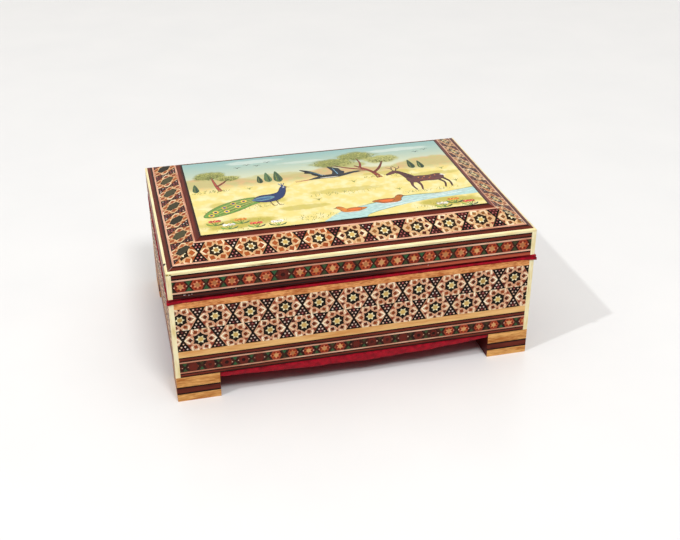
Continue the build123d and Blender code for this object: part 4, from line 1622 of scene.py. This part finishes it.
def rim_sheet(side, body, finish):
    """Felt over one side of a rim, folded over its inner edge and down the inside of the wall."""
    on_case = body == "case"
    half_run, out = half_run_and_out(side)
    inner = HALF_LENGTH - INNER_HALF_LENGTH
    level = CASE_TOP + RIM_FELT_THICKNESS / 2 if on_case else LID_BOTTOM - RIM_FELT_THICKNESS / 2
    way = -1.0 if on_case else 1.0
    far = LINING_TOP if on_case else LID_LINING_TOP
    fold = INNER_FOLD
    thickness = RIM_FELT_THICKNESS * FELT_SHARE
    hang = inner + thickness / 2
    face = Side(SIDES[side], out, 0.0)
    flat_end = hang - fold
    back_way = {"left": -1.0, "right": 1.0}.get(side, 0.0)
    rows = []
    shares = [index / RIM_STEPS for index in range(RIM_STEPS + 1)]
    columns = run_stations(1.0, FELT_GRID / half_run)
    for share in shares:
        row = []
        for column in columns:
            start = rim_start(body, side, column * half_run, half_run)
            inset = start + (flat_end - start) * share
            reach = half_run - max(inset, start)
            if column * back_way > 0:
                reach = min(reach, RIM_FELT_BACK)
            lift = ripple("rim_lift", column * half_run) * (1 - share)
            row.append((column * reach, level + lift, -inset))
        rows.append(row)
    for index in range(1, FOLD_STEPS + 1):
        angle = math.pi / 2 * index / FOLD_STEPS
        inset = flat_end + fold * math.sin(angle)
        height = level + way * fold * (1 - math.cos(angle))
        rows.append([(column * (half_run - inset), height, -inset) for column in columns])
    turn_level = level + way * fold
    for index in range(1, DROP_STEPS + 1):
        height = turn_level + (far - turn_level) * index / DROP_STEPS
        row = []
        for column in columns:
            swell = ripple("wall_swell", column * half_run + index * SWELL_SHIFT)
            row.append((column * (half_run - hang), height, -hang + swell))
        rows.append(row)
    points = [[tuple(face.spot(u, v, w) * PER_METRE) for u, v, w in row] for row in rows]
    name = body + "_" + side + "_rim_felt"
    piece = placed(name, cloth_mesh(name, points, thickness), finish, body)
    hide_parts(body + "_rim_felt", body + "_wall_linings")
    drop = abs(far - turn_level)
    width = RIM_MOST_PROUD + flat_end + fold * math.pi / 2 + drop
    if side == "back":
        width -= RIM_MOST_PROUD + HALF_DEPTH - RIM_FELT_BACK
    return piece


LINING_GAP = 0.06
LINING_GRID = 2.0
LINING_WAVE = 22.0
LINING_SEED = 4.0
LINING_SWELL = 0.16
LINING_SHARE = 0.7


def lining_sheet(node, body, finish, facing):
    """Velvet laid on the floor of the case or under the lid's board."""
    low, high = extent(node)
    middle = (low.z + high.z) / 2
    half_length = high.x - LINING_GAP
    half_depth = high.y - LINING_GAP
    rows = []
    for v in run_stations(half_depth, LINING_GRID):
        row = []
        for u in run_stations(half_length, LINING_GRID):
            swell = noise.noise(Vector((u / LINING_WAVE, v / LINING_WAVE, LINING_SEED))) * LINING_SWELL
            row.append((u, v, middle - facing * abs(swell)))
        rows.append(row)
    name = node.replace("_lining", "_velvet")
    mesh = cloth_mesh(name, rows, (high.z - low.z) * LINING_SHARE)
    piece = placed(name, mesh, finish, body)
    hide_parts(node)


HEM_STEPS = 5
HEM_LEFT_DROP = 1.9
HEM_LOWEST_DROP = 4.1
HEM_RIGHT_DROP = 1.2
HEM_LOWEST_PLACE = 8.0
HEM_BEND = 1.8
HEM_LEAN = 0.35
HEM_SET_BACK = 0.1
HEM_END_DROP = 0.4
BASE_FELT_THICKNESS = 0.8
BASE_FELT_GAP = 0.02
FOOT_GAP = 0.05
FOOT_STATIONS = 8
BASE_EDGE_SHARE = 0.998
NUDGE = 0.01


def hem_drop(u):
    """How far the felt hangs below the case along the front."""
    reach = HALF_LENGTH - FOOT_WIDTH
    end_drop, span = HEM_LEFT_DROP, reach + HEM_LOWEST_PLACE
    if u > HEM_LOWEST_PLACE:
        end_drop, span = HEM_RIGHT_DROP, reach - HEM_LOWEST_PLACE
    away = min(abs(u - HEM_LOWEST_PLACE) / span, 1.0)
    drop = end_drop + (HEM_LOWEST_DROP - end_drop) * (1 - away**HEM_BEND)
    return drop + ripple("hem_wave", u) + ripple("hem_fray", u)


def base_stations(foot, edge, step):
    """Places across the base: even ones between the feet, and a few beside the feet at each end."""
    ends = [foot + (edge - foot) * index / FOOT_STATIONS for index in range(1, FOOT_STATIONS + 1)]
    return [-place for place in reversed(ends)] + run_stations(foot, step) + ends


def base_sheet(finish):
    """Felt under the case round the feet, with its front edge hanging down."""
    high = extent("base_felt")[1]
    half_thickness = BASE_FELT_THICKNESS / 2
    level = high.z - half_thickness - BASE_FELT_GAP
    foot_u = HALF_LENGTH - FOOT_WIDTH - FOOT_GAP
    foot_v = HALF_DEPTH - FOOT_WIDTH - FOOT_GAP
    columns = base_stations(foot_u, high.x, 1.0)
    rows = []
    for step in range(HEM_STEPS, 0, -1):
        share = step / HEM_STEPS
        row = []
        for u in columns:
            drop = hem_drop(u) if abs(u) <= foot_u + NUDGE else HEM_END_DROP
            lean = HEM_LEAN * math.sin(share * math.pi / 2) - ripple("hem_lean", u) * share
            row.append((u, -high.y + half_thickness + lean - HEM_SET_BACK, level - drop * share))
        rows.append(row)
    for v in base_stations(foot_v, high.y, 2.0):
        inside = v if abs(v) < high.y - NUDGE else v * BASE_EDGE_SHARE
        rows.append([(u, inside, level) for u in columns])

    def keep(i, j):
        between_feet = abs(columns[j] + columns[j + 1]) / 2 < foot_u
        if i < HEM_STEPS:
            return between_feet
        return between_feet or abs(rows[i][0][1] + rows[i + 1][0][1]) / 2 < foot_v

    name = "base_felt_sheet"
    piece = placed(name, cloth_mesh(name, rows, BASE_FELT_THICKNESS, keep), finish, "case")
    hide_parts("base_felt")


# Finish the CAD nodes

def assign(finish, *nodes):
    for node in nodes:
        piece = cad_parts[node]
        piece.data.materials.clear()
        piece.data.materials.append(finish.material)


def finish_frame():
    assign(upright_bone("post_bone"), "case_corner_strips", "lid_corner_strips")
    assign(edging_finish(), "lid_edging")
    lines = streaked("line_bone", LINE_PINK, LINE_PINK_DEEP, stretch=10.0, grain=0.8)
    assign(
        lines,
        "case_lower_bone_lines",
        "case_upper_bone_lines",
        "lid_lower_bone_lines",
        "lid_upper_bone_lines",
        "lid_outer_lines",
        "lid_inner_lines",
    )
    for node in ("case_lower_dark_strips", "case_upper_dark_strips", "lid_upper_dark_strips"):
        assign(banded(node + "_wood", node, STRIP_STOPS), node)
    assign(lid_lower_strip_finish(), "lid_lower_dark_strips")
    for node in ("lid_outer_frame", "lid_inner_frame"):
        assign(banded(node + "_wood", node, FRAME_STOPS, shift=0.12), node)
    assign(banded("foot_dark_wood", "foot_dark_inlays", FOOT_STOPS, shift=0.1), "foot_dark_inlays")
    assign(streaked("upper_fillet_wood", FILLET, FILLET_DEEP, stretch=4.0, grain=0.5), "case_upper_fillets")
    lower = streaked("lower_fillet_wood", LOWER_FILLET, LOWER_FILLET_DEEP, stretch=12.0, grain=0.6)
    assign(lower, "case_lower_fillets")
    feet = [end + "_" + hand + "_foot" for end in ("front", "back") for hand in ("left", "right")]
    assign(foot_finish(), *feet)
    ground = block_finish("band_ground", BAND_GROUND, BAND_GROUND_DEEP, size=1.5)
    assign(ground, "case_star_bands", "lid_star_bands")
    assign(block_finish("star_bone_blocks", STAR_BONE, STAR_BLUSH, size=1.1), "case_khatam_stars")
    assign(block_finish("lid_star_bone_blocks", LID_STAR_BONE, LID_STAR_BLUSH, size=1.1), "lid_khatam_stars")
    black = block_finish("black_blocks", NEAR_BLACK, BLACK_WARM, size=0.9)
    assign(black, "case_khatam_star_hearts", "case_khatam_fillers", "lid_khatam_fillers")
    assign(block_finish("lid_heart_blocks", BLACK_WARM, HEART_BROWN, size=1.2), "lid_khatam_star_hearts")
    assign(painting_finish(), "painted_panel")
    walls = ["case_" + side + "_wall" for side in SIDES] + ["lid_" + side + "_rail" for side in SIDES]
    core = streaked("core_wood", CORE, CORE_DEEP, coat=0.0, depth=0.05, roughness=0.7)
    assign(core, "case_bottom_board", "lid_top_board", *walls)
    brass = brass_finish()
    assign(brass, "case_hinge_nails", "lid_hinge_nails")
    for hand in ("left", "right"):
        assign(brass, *(hand + "_hinge_" + part for part in ("case_leaf", "lid_leaf", "pin")))


# Floor, lights and camera

FLOOR_HALF = 4.0
FLOOR_COLOUR = srgb(232, 233, 234)
FLOOR_SHOWN = srgb(240, 240, 240)
KEY_WAY = Vector((-0.598, -0.263, 0.756))
KEY_DISTANCE = 2.2
KEY_SIZE = 0.05
KEY_POWER = 13.5
FILL_WAY = Vector((0.1, -0.55, 0.83))
FILL_DISTANCE = 2.2
FILL_SIZE = 0.5
FILL_POWER = 18.0
SKY_HIGH_STRENGTH = 1.2
SKY_LOW_STRENGTH = 0.05
SKY_LOW_END = 0.45
SKY_HIGH_START = 0.9
SKY_SHOWN = 1.0
WORLD_COLOUR = srgb(253, 250, 246)
FLOOR_MOTTLE = 60.0
EYE = Vector((-0.095238, -0.416614, 0.262861))
EYE_AZIMUTH = 0.237
EYE_ELEVATION = 0.509
EYE_ROLL = -0.006
FOCAL_PIXELS = 1015.505
PHOTO_WIDTH = 680
SENSOR = 36.0


def make_floor():
    mesh = bpy.data.meshes.new("floor")
    corners = oblong(-FLOOR_HALF, FLOOR_HALF, -FLOOR_HALF, FLOOR_HALF)
    mesh.from_pydata([(x, y, 0.0) for x, y in corners], [], [(0, 1, 2, 3)])
    floor = bpy.data.objects.new("floor", mesh)
    bpy.context.scene.collection.objects.link(floor)
    finish = Finish("floor", roughness=0.25, specular=0.3)
    mottle = finish.noise(finish.place, FLOOR_MOTTLE, detail=3.0)
    finish.colour(finish.mix(mottle, FLOOR_COLOUR, FLOOR_SHOWN))
    mesh.materials.append(finish.material)


def make_lamp(name, way, distance, size, power):
    light = bpy.data.lights.new(name, "AREA")
    light.shape = "DISK"
    light.size = size
    light.energy = power
    lamp = bpy.data.objects.new(name, light)
    bpy.context.scene.collection.objects.link(lamp)
    lamp.location = way.normalized() * distance
    lamp.rotation_mode = "QUATERNION"
    lamp.rotation_quaternion = way.to_track_quat("Z", "Y")


def make_world():
    """Soft light from overhead that fades towards the horizon; seen or mirrored, the world is plain white."""
    world = bpy.data.worlds.new("studio")
    bpy.context.scene.world = world
    tree = Tree(world)
    background = tree.nodes["Background"]
    background.inputs["Color"].default_value = WORLD_COLOUR
    rise = tree.split(tree.node("TexCoord").outputs["Generated"])[2]
    light = tree.steps(rise, SKY_LOW_END, SKY_HIGH_START, SKY_LOW_STRENGTH, SKY_HIGH_STRENGTH)
    path = tree.node("LightPath").outputs
    seen = path["Is Camera Ray"]
    for name in ("Is Glossy Ray", "Is Transmission Ray"):
        seen = tree.math("MAXIMUM", seen, path[name])
    choice = tree.node("Mix", seen)
    tree.feed(choice.inputs[2], light)
    choice.inputs[3].default_value = SKY_SHOWN
    tree.feed(background.inputs["Strength"], choice.outputs[0])


def make_camera():
    """The photograph's own view: place, two turns and a slight roll."""
    az, el = EYE_AZIMUTH, EYE_ELEVATION
    forward = Vector((math.sin(az) * math.cos(el), math.cos(az) * math.cos(el), -math.sin(el)))
    level = Vector((math.cos(az), -math.sin(az), 0.0))
    up = level.cross(forward)
    right = level * math.cos(EYE_ROLL) + up * math.sin(EYE_ROLL)
    top = up * math.cos(EYE_ROLL) - level * math.sin(EYE_ROLL)
    turn = Matrix((right, top, -forward)).transposed()
    data = bpy.data.cameras.new("camera")
    data.sensor_width = SENSOR
    data.lens = FOCAL_PIXELS / PHOTO_WIDTH * SENSOR
    camera = bpy.data.objects.new("camera", data)
    bpy.context.scene.collection.objects.link(camera)
    camera.matrix_world = Matrix.Translation(EYE) @ turn.to_4x4()
    bpy.context.scene.camera = camera


make_camera()
make_floor()
make_world()
make_lamp("key", KEY_WAY, KEY_DISTANCE, KEY_SIZE, KEY_POWER)
make_lamp("fill", FILL_WAY, FILL_DISTANCE, FILL_SIZE, FILL_POWER)
bpy.context.scene.view_settings.view_transform = "Standard"

finish_frame()
inlay_case()
inlay_lid()
wear_lid()
make_painting()
red_felt = felt_finish("red_felt", FELT_RED, FELT_DARK)
velvet = felt_finish("red_velvet", VELVET_RED, VELVET_DARK)
for body in ("case", "lid"):
    for side in SIDES:
        rim_sheet(side, body, red_felt)
lining_sheet("case_floor_lining", "case", velvet, 1.0)
lining_sheet("lid_top_lining", "lid", velvet, -1.0)
base_sheet(red_felt)
